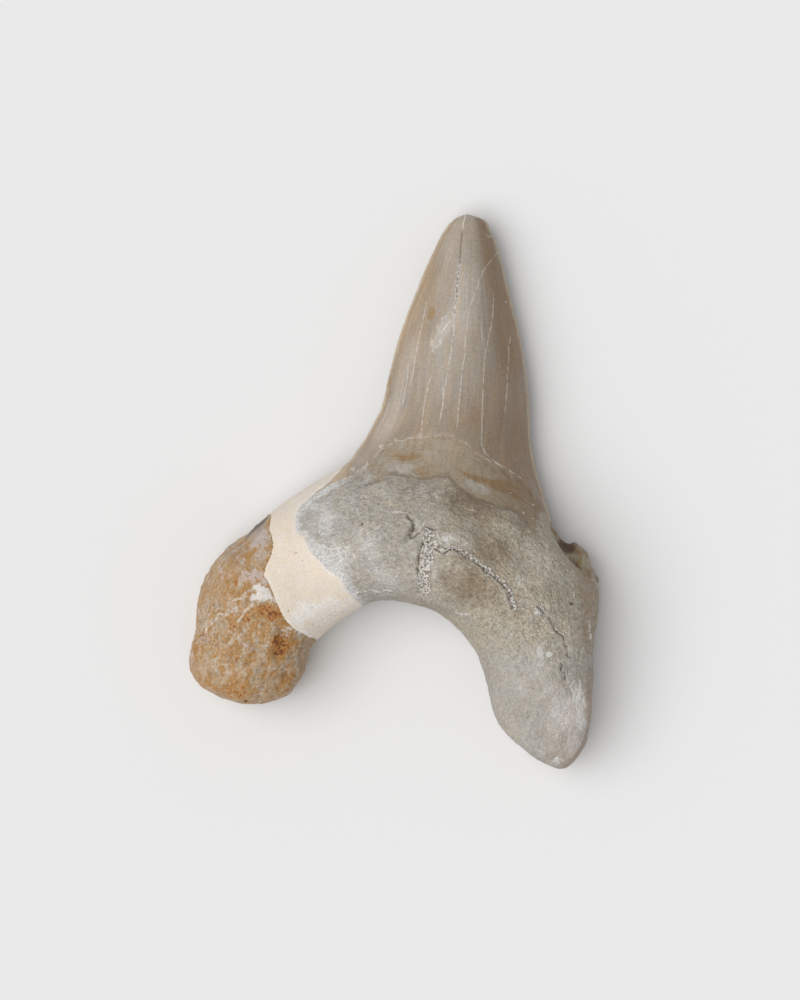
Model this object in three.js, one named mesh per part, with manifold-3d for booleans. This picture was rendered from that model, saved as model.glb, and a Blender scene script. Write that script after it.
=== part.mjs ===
// A mended fossil shark tooth, lying on its flat outer face: one natural tooth (blade, root and
// side cusp), a band of cast filler, and the lobe of another root that the filler holds on.
// Millimetres. +Z is up, +Y runs to the point, +X to the side cusp. The origin is under the middle
// of the bounding box, on the surface that the tooth lies on.
import * as THREE from "three";
import { mergeVertices } from "three/addons/utils/BufferGeometryUtils.js";
import Module from "manifold-3d";

const wasm = await Module();
wasm.setup();

// ---- driving dimensions -------------------------------------------------------------------------

const KERF = 0.3; // gap left along each glued joint
const TOOTH_TOP = 17; // above every part of the tooth
const SAW_REACH = 6; // how far the saws and the surface's slab run past the tooth
const SLAB_WIDTH = 100;
const SMALLEST_PIECE = 1; // cubic millimetres; anything less is a crumb of the saw cuts
const WELD = 1e-4; // corners closer than this are one corner

// How finely each skin is laid: steps along it and corners round it.
const BLADE_MESH = { steps: 36, corners: 36 };
const ROOT_MESH = { steps: 54, corners: 30 };
const CUSP_MESH = { steps: 8, corners: 14 };
const MARGIN_CORNERS = 72;
const SAW_STEPS_PER_POINT = 3;

// The blade, from its buried foot to its point: y, left edge x, right edge x, height of the inner
// face's crest, height of the cutting edges, height of the outer face.
const BLADE = [
  [-11.0, -2.6, 16.2, 8.0, 3.7, 1.4],
  [-7.0, -4.2, 17.2, 8.8, 3.6, 1.2],
  [-3.0, -5.6, 17.0, 10.4, 3.5, 0.95],
  [0.0, -5.8, 16.2, 11.0, 3.4, 0.75],
  [2.6, -5.3, 15.45, 10.9, 3.3, 0.5],
  [5.6, -3.3, 14.95, 10.5, 3.15, 0.2],
  [9.0, -1.55, 14.85, 9.9, 2.95, -0.05],
  [13.3, -0.5, 14.45, 9.1, 2.75, -0.15],
  [17.8, 0.8, 13.6, 8.2, 2.7, -0.05],
  [22.1, 2.45, 12.55, 7.2, 2.8, 0.3],
  [25.9, 4.1, 11.55, 6.2, 2.95, 0.8],
  [28.4, 5.4, 10.6, 5.3, 3.1, 1.3],
  [29.8, 6.5, 9.65, 4.5, 3.15, 1.8],
  [30.34, 7.3, 8.4, 3.8, 3.15, 2.4],
];
const BLADE_INNER_FULLNESS = 1.7;
const BLADE_OUTER_FULLNESS = 1.8;

// The root, a bowed bar round a centre: angle in degrees (0 is +X, anticlockwise), inner radius,
// outer radius, radius of the crest, height of the crest, height of the sides, height of the
// underside, and how the inner face falls from the crest to the outer radius.
const ROOT_CENTRE = new THREE.Vector2(0, -22);
const ROOT = [
  [-24.7, 14.8, 19.9, 17.2, 6.6, 4.2, 2.0, 0.8],
  [-23.9, 13.9, 20.4, 17.0, 7.8, 4.5, 1.2, 0.8],
  [-21.5, 13.0, 21.0, 16.9, 9.1, 4.9, 0.2, 0.8],
  [-17.5, 11.8, 21.6, 16.8, 10.1, 5.2, -0.2, 0.8],
  [-9.0, 11.0, 21.8, 16.6, 10.9, 5.4, -0.25, 0.8],
  [3.0, 10.3, 21.7, 16.3, 11.9, 5.5, -0.1, 0.8],
  [14.0, 10.0, 22.4, 16.2, 12.8, 5.5, 0.2, 0.85],
  [24.0, 9.9, 24.2, 16.3, 13.5, 5.3, 0.6, 0.95],
  [36.0, 9.85, 24.4, 16.2, 14.4, 5.1, 1.1, 1.05],
  [44.0, 9.8, 24.7, 16.0, 14.9, 5.0, 1.4, 1.15],
  [53.0, 9.85, 26.0, 15.8, 15.4, 5.0, 1.7, 1.35],
  [66.0, 9.9, 26.8, 15.6, 15.8, 5.0, 1.9, 1.5],
  [82.0, 10.0, 26.8, 15.4, 15.9, 5.0, 2.0, 1.5],
  [94.0, 10.1, 26.2, 15.4, 15.3, 4.9, 1.9, 1.4],
  [103.0, 10.1, 25.2, 15.6, 14.4, 4.7, 1.6, 1.25],
  [113.0, 9.9, 24.3, 15.9, 13.2, 4.4, 1.2, 1.1],
  [124.0, 9.8, 23.8, 16.4, 12.3, 4.3, 0.8, 1.0],
  [137.0, 9.9, 23.85, 16.8, 12.0, 4.3, 0.3, 0.9],
  [149.0, 10.2, 24.15, 17.0, 12.0, 4.4, 0.0, 0.85],
  [161.0, 10.0, 22.75, 16.8, 11.6, 4.5, -0.25, 0.8],
  [172.0, 9.9, 22.35, 16.4, 10.6, 4.5, -0.25, 0.8],
  [179.0, 10.5, 22.1, 16.1, 9.4, 4.3, -0.15, 0.8],
  [183.3, 12.0, 19.4, 15.7, 7.6, 4.0, 0.5, 0.8],
  [185.4, 13.4, 17.4, 15.5, 5.8, 3.7, 1.5, 0.8],
];
const ROOT_SIDE_FULLNESS = 0.75;
const ROOT_UNDER_FULLNESS = 0.65;

// The bare root shows below the blade on the outer face, inside this radius.
const OUTER_MARGIN_RADIUS = 17.5;

// The side cusp, broken off short: y, left x, right x, crest, sides, underside.
const CUSP = [
  [-16.5, 18.0, 21.6, 6.0, 4.0, 2.2],
  [-12.6, 17.4, 22.35, 7.0, 4.0, 1.7],
  [-10.6, 16.9, 22.5, 7.0, 3.9, 1.5],
  [-8.4, 17.3, 21.65, 6.4, 3.8, 1.5],
  [-6.9, 17.6, 20.85, 5.7, 3.7, 1.6],
  [-5.7, 17.9, 20.2, 4.9, 3.6, 2.0],
];
const CUSP_FULLNESS = 0.9;

// The two glued joints, seen from above, each from outside the shoulder to outside the notch.
const TOOTH_TO_FILLER = [
  [-4.6, 5.4], [-5.5, 2.6], [-6.8, 1.0], [-8.4, 0.0], [-10.1, -1.5], [-10.8, -2.9],
  [-10.5, -4.2], [-9.3, -5.6], [-7.4, -8.4], [-5.9, -9.6], [-4.0, -11.9], [-1.6, -14.2],
];
const FILLER_TO_LOBE = [
  [-14.4, -1.0], [-13.4, -3.0], [-13.2, -4.3], [-13.1, -5.7], [-13.4, -7.2], [-13.9, -9.1],
  [-13.1, -11.0], [-12.8, -12.0], [-12.1, -13.4], [-10.5, -15.0], [-7.0, -17.3],
];

// ---- materials ----------------------------------------------------------------------------------

const finish = (color, roughness) =>
  new THREE.MeshStandardMaterial({ color, roughness, metalness: 0 });
const TOOTH_STONE = finish(0xa59d90, 0.5);
const CREAM_FILLER = finish(0xe9dcc6, 0.85);
const BROWN_STONE = finish(0xb2916a, 0.7);

// ---- shape tools --------------------------------------------------------------------------------

// Rows of numbers read as smooth columns: at(t) gives a row at any place from 0 to 1.
function smoothRows(rows) {
  const columns = rows[0].map((_, column) =>
    new THREE.CatmullRomCurve3(
      rows.map((row) => new THREE.Vector3(row[0], row[column], 0)), false, "centripetal",
    ));
  return (t) => columns.map((column) => column.getPoint(t).y);
}

// A closed section: across from low to high through the crest's place, and up from the sides to
// the crest and down to the underside. The fullness powers shape its four quarters.
function section({ low, crestAt, high, crest, side, under, fullness }, corners) {
  return Array.from({ length: corners }, (_, i) => {
    const turn = (-2 * Math.PI * i) / corners;
    const [across, up] = [Math.cos(turn), Math.sin(turn)];
    const place = crestAt + across * (across < 0 ? crestAt - low : high - crestAt);
    const power = up < 0 ? fullness.under : across < 0 ? fullness.low : fullness.high;
    const swell = Math.abs(up) ** power;
    return [place, up < 0 ? side - (side - under) * swell : side + (crest - side) * swell];
  });
}

// Rings of points with the same count, joined into one closed skin with a fan at each end.
function loft(rings) {
  const count = rings[0].length;
  const vertices = rings.flat();
  const centre = (ring) => ring.reduce((sum, p) => sum.add(p), new THREE.Vector3()).divideScalar(count);
  const first = vertices.push(centre(rings[0])) - 1;
  const last = vertices.push(centre(rings.at(-1))) - 1;
  const faces = [];
  for (let r = 0; r + 1 < rings.length; r++) {
    for (let i = 0; i < count; i++) {
      const [a, b] = [r * count + i, r * count + ((i + 1) % count)];
      faces.push(a, b, b + count, a, b + count, a + count);
    }
  }
  for (let i = 0; i < count; i++) {
    const [a, b] = [i, (i + 1) % count];
    const end = (rings.length - 1) * count;
    faces.push(first, b, a, last, end + a, end + b);
  }
  const geometry = new THREE.BufferGeometry().setFromPoints(vertices);
  geometry.setIndex(faces);
  return geometry;
}

// A closed three.js geometry as a solid that can be joined and cut.
function solid(geometry) {
  const bare = geometry.clone();
  bare.deleteAttribute("normal");
  bare.deleteAttribute("uv");
  const merged = mergeVertices(bare, WELD);
  return new wasm.Manifold(new wasm.Mesh({
    numProp: 3,
    vertProperties: merged.attributes.position.array,
    triVerts: new Uint32Array(merged.index.array),
  }));
}

// A vertical saw cut of the kerf's width along a smooth line seen from above.
function kerf(line) {
  const steps = SAW_STEPS_PER_POINT * line.length;
  const spline = new THREE.SplineCurve(line.map(([x, y]) => new THREE.Vector2(x, y)));
  const side = (sign) => Array.from({ length: steps + 1 }, (_, i) => {
    const along = spline.getTangent(i / steps);
    return spline.getPoint(i / steps).add(
      new THREE.Vector2(-along.y, along.x).multiplyScalar((sign * KERF) / 2));
  });
  const outline = new THREE.Shape([...side(1), ...side(-1).reverse()]);
  const depth = TOOTH_TOP + 2 * SAW_REACH;
  const saw = new THREE.ExtrudeGeometry(outline, { depth, bevelEnabled: false });
  return solid(saw.translate(0, 0, -SAW_REACH));
}

// ---- the pieces ---------------------------------------------------------------------------------

// A bar whose sections stand across +Y, as the blade and the side cusp do.
function uprightBar(rows, fullness, { steps, corners }) {
  const row = smoothRows(rows);
  return loft(Array.from({ length: steps + 1 }, (_, i) => {
    const [y, low, high, crest, side, under] = row(i / steps);
    const crestAt = (low + high) / 2;
    return section({ low, crestAt, high, crest, side, under, fullness }, corners)
      .map(([x, z]) => new THREE.Vector3(x, y, z));
  }));
}

// The root's bar, whose sections stand across the bow.
function bowedBar(rows, { steps, corners }) {
  const row = smoothRows(rows);
  return loft(Array.from({ length: steps + 1 }, (_, i) => {
    const [angle, low, high, crestAt, crest, side, under, outerFall] = row(i / steps);
    const fullness = { low: ROOT_SIDE_FULLNESS, high: outerFall, under: ROOT_UNDER_FULLNESS };
    const turn = THREE.MathUtils.degToRad(angle);
    return section({ low, crestAt, high, crest, side, under, fullness }, corners)
      .map(([r, z]) => new THREE.Vector3(
        ROOT_CENTRE.x + r * Math.cos(turn), ROOT_CENTRE.y + r * Math.sin(turn), z));
  }));
}

const surface = solid(
  new THREE.BoxGeometry(SLAB_WIDTH, SLAB_WIDTH, SAW_REACH).translate(0, 0, -SAW_REACH / 2));
const margin = solid(
  new THREE.CylinderGeometry(OUTER_MARGIN_RADIUS, OUTER_MARGIN_RADIUS, 2 * TOOTH_TOP, MARGIN_CORNERS)
    .rotateX(Math.PI / 2).translate(ROOT_CENTRE.x, ROOT_CENTRE.y, 0));

const bladeFullness = {
  low: BLADE_INNER_FULLNESS, high: BLADE_INNER_FULLNESS, under: BLADE_OUTER_FULLNESS,
};
const cuspFullness = { low: CUSP_FULLNESS, high: CUSP_FULLNESS, under: CUSP_FULLNESS };
const blade = solid(uprightBar(BLADE, bladeFullness, BLADE_MESH)).subtract(margin);
const root = solid(bowedBar(ROOT, ROOT_MESH));
const cusp = solid(uprightBar(CUSP, cuspFullness, CUSP_MESH));

const whole = root.add(blade).add(cusp).subtract(surface);
const sawn = whole.subtract(kerf(TOOTH_TO_FILLER)).subtract(kerf(FILLER_TO_LOBE));

// The three pieces that the saw cuts leave, from left to right.
const pieces = sawn.decompose()
  .filter((piece) => piece.volume() > SMALLEST_PIECE)
  .sort((a, b) => a.boundingBox().min[0] - b.boundingBox().min[0]);
const [lobe, filler, tooth] = pieces;

// A solid back as a named mesh.
function meshOf(name, piece, material) {
  const { vertProperties, triVerts } = piece.getMesh();
  const geometry = new THREE.BufferGeometry();
  geometry.setAttribute("position", new THREE.BufferAttribute(vertProperties, 3));
  geometry.setIndex(new THREE.BufferAttribute(triVerts, 1));
  geometry.computeVertexNormals();
  const mesh = new THREE.Mesh(geometry, material);
  mesh.name = name;
  return mesh;
}

const group = new THREE.Group();
group.add(
  meshOf("tooth", tooth, TOOTH_STONE),
  meshOf("filler_band", filler, CREAM_FILLER),
  meshOf("brown_root_lobe", lobe, BROWN_STONE),
);

export default group;
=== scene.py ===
"""A mended fossil shark tooth lying on a pale table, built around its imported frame.

The tooth lies on its flat outer face. Three pieces are made here: the natural tooth (blade, root
and the stub of a side cusp), the band of cream filler in the break through the root's left arm,
and the brown lobe of another root that the filler holds on. Shapes are worked out in millimetres
and turned into metres when the meshes are made.
"""
import logging
import math
from dataclasses import dataclass
from enum import Enum
from itertools import product
from typing import Callable, Sequence, Union

import bpy
import numpy as np
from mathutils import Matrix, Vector


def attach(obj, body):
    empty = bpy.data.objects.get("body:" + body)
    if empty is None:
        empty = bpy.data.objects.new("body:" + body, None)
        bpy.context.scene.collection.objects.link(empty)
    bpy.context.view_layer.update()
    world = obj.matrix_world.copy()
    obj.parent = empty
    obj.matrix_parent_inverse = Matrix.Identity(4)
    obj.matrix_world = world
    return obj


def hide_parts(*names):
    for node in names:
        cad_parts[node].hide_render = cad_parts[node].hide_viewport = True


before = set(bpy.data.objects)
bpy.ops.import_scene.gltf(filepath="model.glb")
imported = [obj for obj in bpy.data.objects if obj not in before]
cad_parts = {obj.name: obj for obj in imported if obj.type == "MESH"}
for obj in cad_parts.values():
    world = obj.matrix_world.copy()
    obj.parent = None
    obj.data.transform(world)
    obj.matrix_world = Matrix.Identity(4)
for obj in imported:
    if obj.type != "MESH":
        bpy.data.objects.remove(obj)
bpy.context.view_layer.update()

log = logging.getLogger("fossil_tooth")

MM = 0.001
CELL = 0.204  # width of the modelling grid's cells, mm
Array = np.ndarray
Colour = tuple[float, float, float]
Outness = Callable[[Array, Array, Array], Array]  # from x, y and z: 1 on a skin, less inside


# ---- number tools ----


def smoothstep(low: float, high: float, value: Array) -> Array:
    """Return 0 below low and 1 above high, with a smooth turn between them."""
    share = np.clip((value - low) / (high - low), 0.0, 1.0)
    return share * share * (3.0 - 2.0 * share)


def smooth_min(one: Array, other: Array, reach: Union[float, Array]) -> Array:
    """Join two distance fields with a fillet of that reach, mm."""
    share = np.clip(0.5 + 0.5 * (other - one) / reach, 0.0, 1.0)
    return other + (one - other) * share - reach * share * (1.0 - share)


def smooth_max(one: Array, other: Array, reach: Union[float, Array]) -> Array:
    """Keep what is inside both distance fields, with a rounded edge of that reach."""
    return -smooth_min(-one, -other, reach)


@dataclass(frozen=True)
class Rows:
    """Rows of sizes along a part, whose first column is the place, read as smooth curves."""

    table: tuple[tuple[float, ...], ...]

    def read(self, place: Array) -> list[Array]:
        """Read every column but the first.

        Args:
            place: where to read, in the first column's units.

        Returns:
            One array for each column, held at the end rows' values beyond the table.
        """
        keys, *columns = np.array(self.table, dtype=np.float64).T
        at = np.clip(place, keys[0], keys[-1])
        low = np.clip(np.searchsorted(keys, at, side="right") - 1, 0, len(keys) - 2)
        width = keys[low + 1] - keys[low]
        share = (at - keys[low]) / width
        found = []
        for column in columns:
            slope = np.gradient(column, keys)
            start, end = column[low], column[low + 1]
            rise, fall = slope[low] * width, slope[low + 1] * width
            found.append(
                (1 + 2 * share) * (1 - share) ** 2 * start + share * (1 - share) ** 2 * rise
                + share**2 * (3 - 2 * share) * end + share**2 * (share - 1) * fall
            )
        return found


class Noise:
    """Smooth lattice noise in three dimensions, the same on each run."""

    LAYER_SHIFT = 17.3  # keeps the layers' lattices apart
    GRADIENTS = np.array([g for g in product((-1, 0, 1), repeat=3) if sum(map(abs, g)) == 2], float)

    def __init__(self, seed: int) -> None:
        """Draw the lattice's shuffle from the seed."""
        self.shuffle = np.tile(np.random.default_rng(seed).permutation(256), 3)

    def __call__(self, points: Array, size: float, octaves: int = 1, gain: float = 0.5) -> Array:
        """Read the noise at some points.

        Args:
            points: places, one row each, mm.
            size: the width of the largest lumps, mm.
            octaves: how many finer layers are added up, each half as wide.
            gain: each finer layer's height against the last.

        Returns:
            One value for each point, mostly from -1 to 1.
        """
        height = np.zeros(len(points))
        share = 1.0
        for octave in range(octaves):
            height += share * self._layer(points * (2.0**octave / size) + self.LAYER_SHIFT * octave)
            share *= gain
        return height

    def _layer(self, places: Array) -> Array:
        """Read one layer of noise.

        Args:
            places: where to read, in pitches of the lattice.

        Returns:
            One value for each place.
        """
        base = np.floor(places).astype(int)
        inner = places - base
        ease = inner**3 * (inner * (inner * 6 - 15) + 10)
        height = np.zeros(len(places))
        for corner in product((0, 1), repeat=3):
            i, j, k = ((base + corner) & 255).T
            turn = self.shuffle[self.shuffle[self.shuffle[i] + j] + k] % 12
            reach = np.einsum("ij,ij->i", self.GRADIENTS[turn], inner - corner)
            weight = np.prod(np.where(np.array(corner) == 1, ease, 1 - ease), axis=1)
            height += weight * reach
        return height


@dataclass(frozen=True)
class Line:
    """A bent line seen from above, mm."""

    points: tuple[tuple[float, float], ...]

    def measure(self, x: Array, y: Array) -> tuple[Array, Array]:
        """Measure from the line.

        Args:
            x: places across, mm.
            y: places along, mm.

        Returns:
            The distance from the line, positive on its left as it runs, and the length of it
            that has been passed at the nearest point.
        """
        x, y = np.broadcast_arrays(x, y)
        corners = np.array(self.points, float)
        steps = np.hypot(*np.diff(corners, axis=0).T)
        passed = np.concatenate([[0.0], np.cumsum(steps)])
        best = np.full(x.shape, np.inf)
        side = np.zeros(x.shape)
        along = np.zeros(x.shape)
        for i, ((ax, ay), (bx, by)) in enumerate(zip(corners[:-1], corners[1:])):
            dx, dy = bx - ax, by - ay
            share = np.clip(((x - ax) * dx + (y - ay) * dy) / (dx * dx + dy * dy), 0.0, 1.0)
            gap = np.hypot(x - ax - share * dx, y - ay - share * dy)
            nearer = gap < best
            cross = dx * (y - ay) - dy * (x - ax)
            best = np.where(nearer, gap, best)
            side = np.where(nearer, np.sign(cross), side)
            along = np.where(nearer, passed[i] + share * (passed[i + 1] - passed[i]), along)
        return best * side, along


# ---- the body's shape ----


def swell(across: Array, up: Array, over: Array, under: Array) -> Array:
    """Return 1 on a section's skin and less inside it, over and under being how full it is."""
    power = np.where(up >= 0, 2.0 / over, 2.0 / under)
    return across**2 + np.abs(up) ** power


def height_share(z: Array, crest: Array, side: Array, under: Array) -> Array:
    """Return where heights are in a section: 0 at its sides, 1 at its crest, -1 at its bottom."""
    return np.where(z >= side, (z - side) / (crest - side), (z - side) / (side - under))


@dataclass(frozen=True)
class Lens:
    """A part that runs along Y and is lens-shaped across."""

    rows: Rows
    inner_fullness: float
    outer_fullness: float

    def edges(self, y: Array) -> tuple[Array, Array]:
        """Return the left and right edges' places across, at some places along, mm."""
        left, right, *_ = self.rows.read(y)
        return left, right

    def out(self, x: Array, y: Array, z: Array) -> Array:
        """Tell how far out of its section each point is.

        Args:
            x: places across, mm.
            y: places along, mm.
            z: heights, mm.

        Returns:
            1 on the skin, less inside.
        """
        left, right, crest, side, under = self.rows.read(y)
        across = (x - (left + right) / 2) / ((right - left) / 2)
        up = height_share(z, crest, side, under)
        return swell(across, up, self.inner_fullness, self.outer_fullness)


@dataclass(frozen=True)
class Blade(Lens):
    """The enamelled blade, with two smooth cutting edges."""

    rows: Rows = Rows((  # y, left edge, right edge, crest, cutting edges, outer face
        (-11.0, -2.6, 16.2, 8.0, 3.7, 1.4), (-7.0, -4.2, 17.2, 8.8, 3.6, 1.2),
        (-3.0, -5.6, 17.0, 10.4, 3.5, 0.95), (0.0, -5.8, 16.2, 11.0, 3.4, 0.75),
        (2.6, -5.3, 15.45, 10.9, 3.3, 0.5), (5.6, -3.3, 14.95, 10.5, 3.15, 0.2),
        (9.0, -1.55, 14.85, 9.9, 2.95, -0.05), (13.3, -0.5, 14.45, 9.1, 2.75, -0.15),
        (17.8, 0.8, 13.6, 8.2, 2.7, -0.05), (22.1, 2.45, 12.55, 7.2, 2.8, 0.3),
        (25.9, 4.1, 11.55, 6.2, 2.95, 0.8), (28.4, 5.4, 10.6, 5.3, 3.1, 1.3),
        (29.8, 6.5, 9.65, 4.5, 3.15, 1.8), (30.34, 7.3, 8.4, 3.8, 3.15, 2.4),
    ))
    inner_fullness: float = 1.7
    outer_fullness: float = 1.8
    foot: float = -11.0
    tip: float = 30.25
    tip_round: float = 0.9


@dataclass(frozen=True)
class Root:
    """The bowed root, whose sections stand across the bow."""

    centre: tuple[float, float] = (0.0, -22.0)
    rows: Rows = Rows((  # angle, inner r, outer r, crest's r, crest, sides, underside, outer fall
        (-34.0, 12.4, 21.4, 16.9, 8.4, 4.9, 0.2, 0.8), (-24.7, 11.9, 21.6, 16.9, 9.5, 5.1, 0.0, 0.8),
        (-17.5, 11.4, 21.7, 16.8, 10.2, 5.3, -0.2, 0.8), (-9.0, 10.9, 21.8, 16.6, 10.9, 5.4, -0.25, 0.8),
        (3.0, 10.3, 21.7, 16.3, 11.9, 5.5, -0.1, 0.8), (14.0, 10.0, 22.4, 16.2, 12.8, 5.5, 0.2, 0.85),
        (24.0, 9.9, 24.2, 16.3, 13.5, 5.3, 0.6, 0.95), (36.0, 9.85, 24.4, 16.2, 14.4, 5.1, 1.1, 1.05),
        (44.0, 9.8, 24.7, 16.0, 14.9, 5.0, 1.4, 1.15), (53.0, 9.85, 26.0, 15.8, 15.4, 5.0, 1.7, 1.35),
        (66.0, 9.9, 26.8, 15.6, 15.8, 5.0, 1.9, 1.5), (82.0, 10.0, 26.8, 15.4, 15.9, 5.0, 2.0, 1.5),
        (94.0, 10.1, 26.2, 15.4, 15.3, 4.9, 1.9, 1.4), (103.0, 10.1, 25.2, 15.6, 14.4, 4.7, 1.6, 1.25),
        (113.0, 9.9, 24.3, 15.9, 13.2, 4.4, 1.2, 1.1), (124.0, 9.8, 23.8, 16.4, 12.3, 4.3, 0.8, 1.0),
        (137.0, 9.9, 23.85, 16.8, 12.0, 4.3, 0.3, 0.9), (149.0, 10.2, 24.15, 17.0, 12.0, 4.4, 0.0, 0.85),
        (161.0, 10.0, 22.75, 16.8, 11.6, 4.5, -0.25, 0.8),
        (172.0, 9.7, 22.35, 16.4, 10.8, 4.5, -0.25, 0.8),
        (180.0, 9.6, 22.0, 16.1, 10.0, 4.4, -0.15, 0.8), (190.0, 9.6, 22.0, 16.0, 9.2, 4.2, 0.0, 0.8),
    ))
    right_lobe: float = 50.0  # the right lobe lies below this angle
    left_lobe: float = 150.0  # the left lobe lies above this one
    side_fullness: float = 0.75
    under_fullness: float = 0.65
    # The faces that end the two lobes, seen from above: outward direction in degrees, distance
    # from the bow's centre, and how far the edge is rounded.
    right_ends: tuple[tuple[float, float, float], ...] = (
        (219.2, -6.7, 1.2), (243.4, -0.58, 1.6), (-44.2, 19.3, 1.5),
    )
    left_ends: tuple[tuple[float, float, float], ...] = (
        (236.3, 11.5, 2.0), (258.4, 4.7, 2.2), (290.6, -3.8, 2.0), (326.3, -9.18, 0.8),
    )

    def polar(self, x: Array, y: Array) -> tuple[Array, Array]:
        """Turn places into places on the bow.

        Args:
            x: places across, mm.
            y: places along, mm.

        Returns:
            The distance from the bow's centre, mm, and the angle, from -90 to 270 degrees.
        """
        across, along = x - self.centre[0], y - self.centre[1]
        angle = np.degrees(np.arctan2(along, across))
        return np.hypot(across, along), np.where(angle < -90, angle + 360, angle)

    def out(self, x: Array, y: Array, z: Array) -> Array:
        """Tell how far out of its section each point is.

        Args:
            x: places across, mm.
            y: places along, mm.
            z: heights, mm.

        Returns:
            1 on the skin, less inside.
        """
        reach, angle = self.polar(x, y)
        inner, outer, crest_at, crest, side, under, fall = self.rows.read(angle)
        half = np.where(reach < crest_at, crest_at - inner, outer - crest_at)
        over = np.where(reach < crest_at, self.side_fullness, fall)
        up = height_share(z, crest, side, under)
        return swell((reach - crest_at) / half, up, over, self.under_fullness)

    def trimmed(self, skin: Array, x: Array, y: Array) -> Array:
        """Cut the bow off at the ends of its lobes.

        Args:
            skin: the bow's distance field, mm.
            x: places across, mm.
            y: places along, mm.

        Returns:
            The distance field with both lobes ended.
        """
        across, along = x - self.centre[0], y - self.centre[1]
        _, bow = self.polar(x, y)
        right, left = bow < self.right_lobe, bow > self.left_lobe
        for lobe, faces in ((right, self.right_ends), (left, self.left_ends)):
            for turn, offset, rounding in faces:
                angle = math.radians(turn)
                past = across * math.cos(angle) + along * math.sin(angle) - offset
                skin = smooth_max(skin, np.where(lobe, past, -10.0), rounding)
        return skin


@dataclass(frozen=True)
class Cusp(Lens):
    """The side cusp, a small enamelled cone broken off short."""

    rows: Rows = Rows((  # y, left, right, crest, sides, underside
        (-16.5, 18.0, 21.6, 6.0, 4.0, 2.2), (-12.6, 17.4, 22.25, 7.0, 4.0, 1.7),
        (-10.6, 16.9, 22.35, 7.0, 3.9, 1.5), (-8.4, 17.3, 21.65, 6.4, 3.8, 1.5),
        (-6.9, 17.6, 20.85, 5.7, 3.7, 1.6), (-5.7, 17.9, 20.2, 4.9, 3.6, 2.0),
    ))
    inner_fullness: float = 0.9
    outer_fullness: float = 0.9
    foot: float = -16.5
    top: float = -5.6
    rounding: float = 0.9


@dataclass(frozen=True)
class Body:
    """The whole mended tooth as one distance field."""

    blade: Blade = Blade()
    root: Root = Root()
    cusp: Cusp = Cusp()
    margin_radius: float = 17.5  # the bare root shows inside this radius on the outer face
    over_blend: float = 2.2
    under_blend: float = 0.7
    blend_heights: tuple[float, float] = (3.0, 6.5)  # from the under blend to the over blend
    cusp_blend: float = 0.9
    foot_rounding: float = 0.5
    rest_rounding: float = 0.25

    @staticmethod
    def _distance(out: Outness, x: Array, y: Array, z: Array) -> Array:
        """Turn a section's outness into a distance by its steepness.

        Args:
            out: tells how far out of the section a point is.
            x: places across, mm.
            y: places along, mm.
            z: heights, mm.

        Returns:
            The distance from the section's skin, mm.
        """
        step = 0.02
        least = 0.02
        here = out(x, y, z)
        slopes = (
            (out(x + step, y, z) - here) / step,
            (out(x, y + step, z) - here) / step,
            (out(x, y, z + step) - here) / step,
        )
        steepness = np.sqrt(sum(slope**2 for slope in slopes))
        return (here - 1.0) / np.maximum(steepness, least)

    def field(self, x: Array, y: Array, z: Array) -> Array:
        """Measure from the body's skin.

        Args:
            x: places across, mm.
            y: places along, mm.
            z: heights, mm.

        Returns:
            The distance outside the skin, mm, which is good near the skin.
        """
        reach, _ = self.root.polar(x, y)
        blade = self._distance(self.blade.out, x, y, z)
        blade = smooth_max(blade, y - self.blade.tip, self.blade.tip_round)
        blade = smooth_max(blade, self.margin_radius - reach, self.foot_rounding)
        blade = smooth_max(blade, self.blade.foot - y, self.foot_rounding)
        root = self.root.trimmed(self._distance(self.root.out, x, y, z), x, y)
        cusp = self._distance(self.cusp.out, x, y, z)
        cusp = smooth_max(cusp, y - self.cusp.top, self.cusp.rounding)
        cusp = smooth_max(cusp, self.cusp.foot - y, self.cusp.rounding)
        share = smoothstep(*self.blend_heights, z)
        blend = self.under_blend + (self.over_blend - self.under_blend) * share
        whole = smooth_min(smooth_min(root, blade, blend), cusp, self.cusp_blend)
        return smooth_max(whole, -z, self.rest_rounding)


# ---- from field to mesh ----


@dataclass
class Skin:
    """A closed mesh being worked on, mm."""

    points: Array
    quads: Array

    def normals(self) -> Array:
        """Find each point's outward direction.

        Returns:
            One row of length 1 for each point.
        """
        corners = self.points[self.quads]
        faces = np.cross(corners[:, 2] - corners[:, 0], corners[:, 3] - corners[:, 1])
        outward = np.zeros_like(self.points)
        for i in range(4):
            np.add.at(outward, self.quads[:, i], faces)
        return outward / np.maximum(np.linalg.norm(outward, axis=1, keepdims=True), 1e-12)

    def pairs(self) -> Array:
        """Return each edge once, as two point numbers."""
        ring = np.vstack([self.quads[:, [i, (i + 1) % 4]] for i in range(4)])
        return np.unique(np.sort(ring, axis=1), axis=0)

    def averaged(self, values: Array, rounds: int) -> Array:
        """Spread values over the neighbours of each point.

        Args:
            values: a number or a row for each point.
            rounds: how many times each point takes the mean of its neighbours.

        Returns:
            The spread values.
        """
        one, other = self.pairs().T
        count = np.bincount(one, minlength=len(values)) + np.bincount(other, minlength=len(values))
        flat = values.reshape(len(values), -1).astype(float)
        for _ in range(rounds):
            spread = np.zeros_like(flat)
            for i in range(flat.shape[1]):
                spread[:, i] = np.bincount(one, flat[other, i], len(flat))
                spread[:, i] += np.bincount(other, flat[one, i], len(flat))
            flat = spread / count[:, None]
        return flat.reshape(values.shape)


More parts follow.
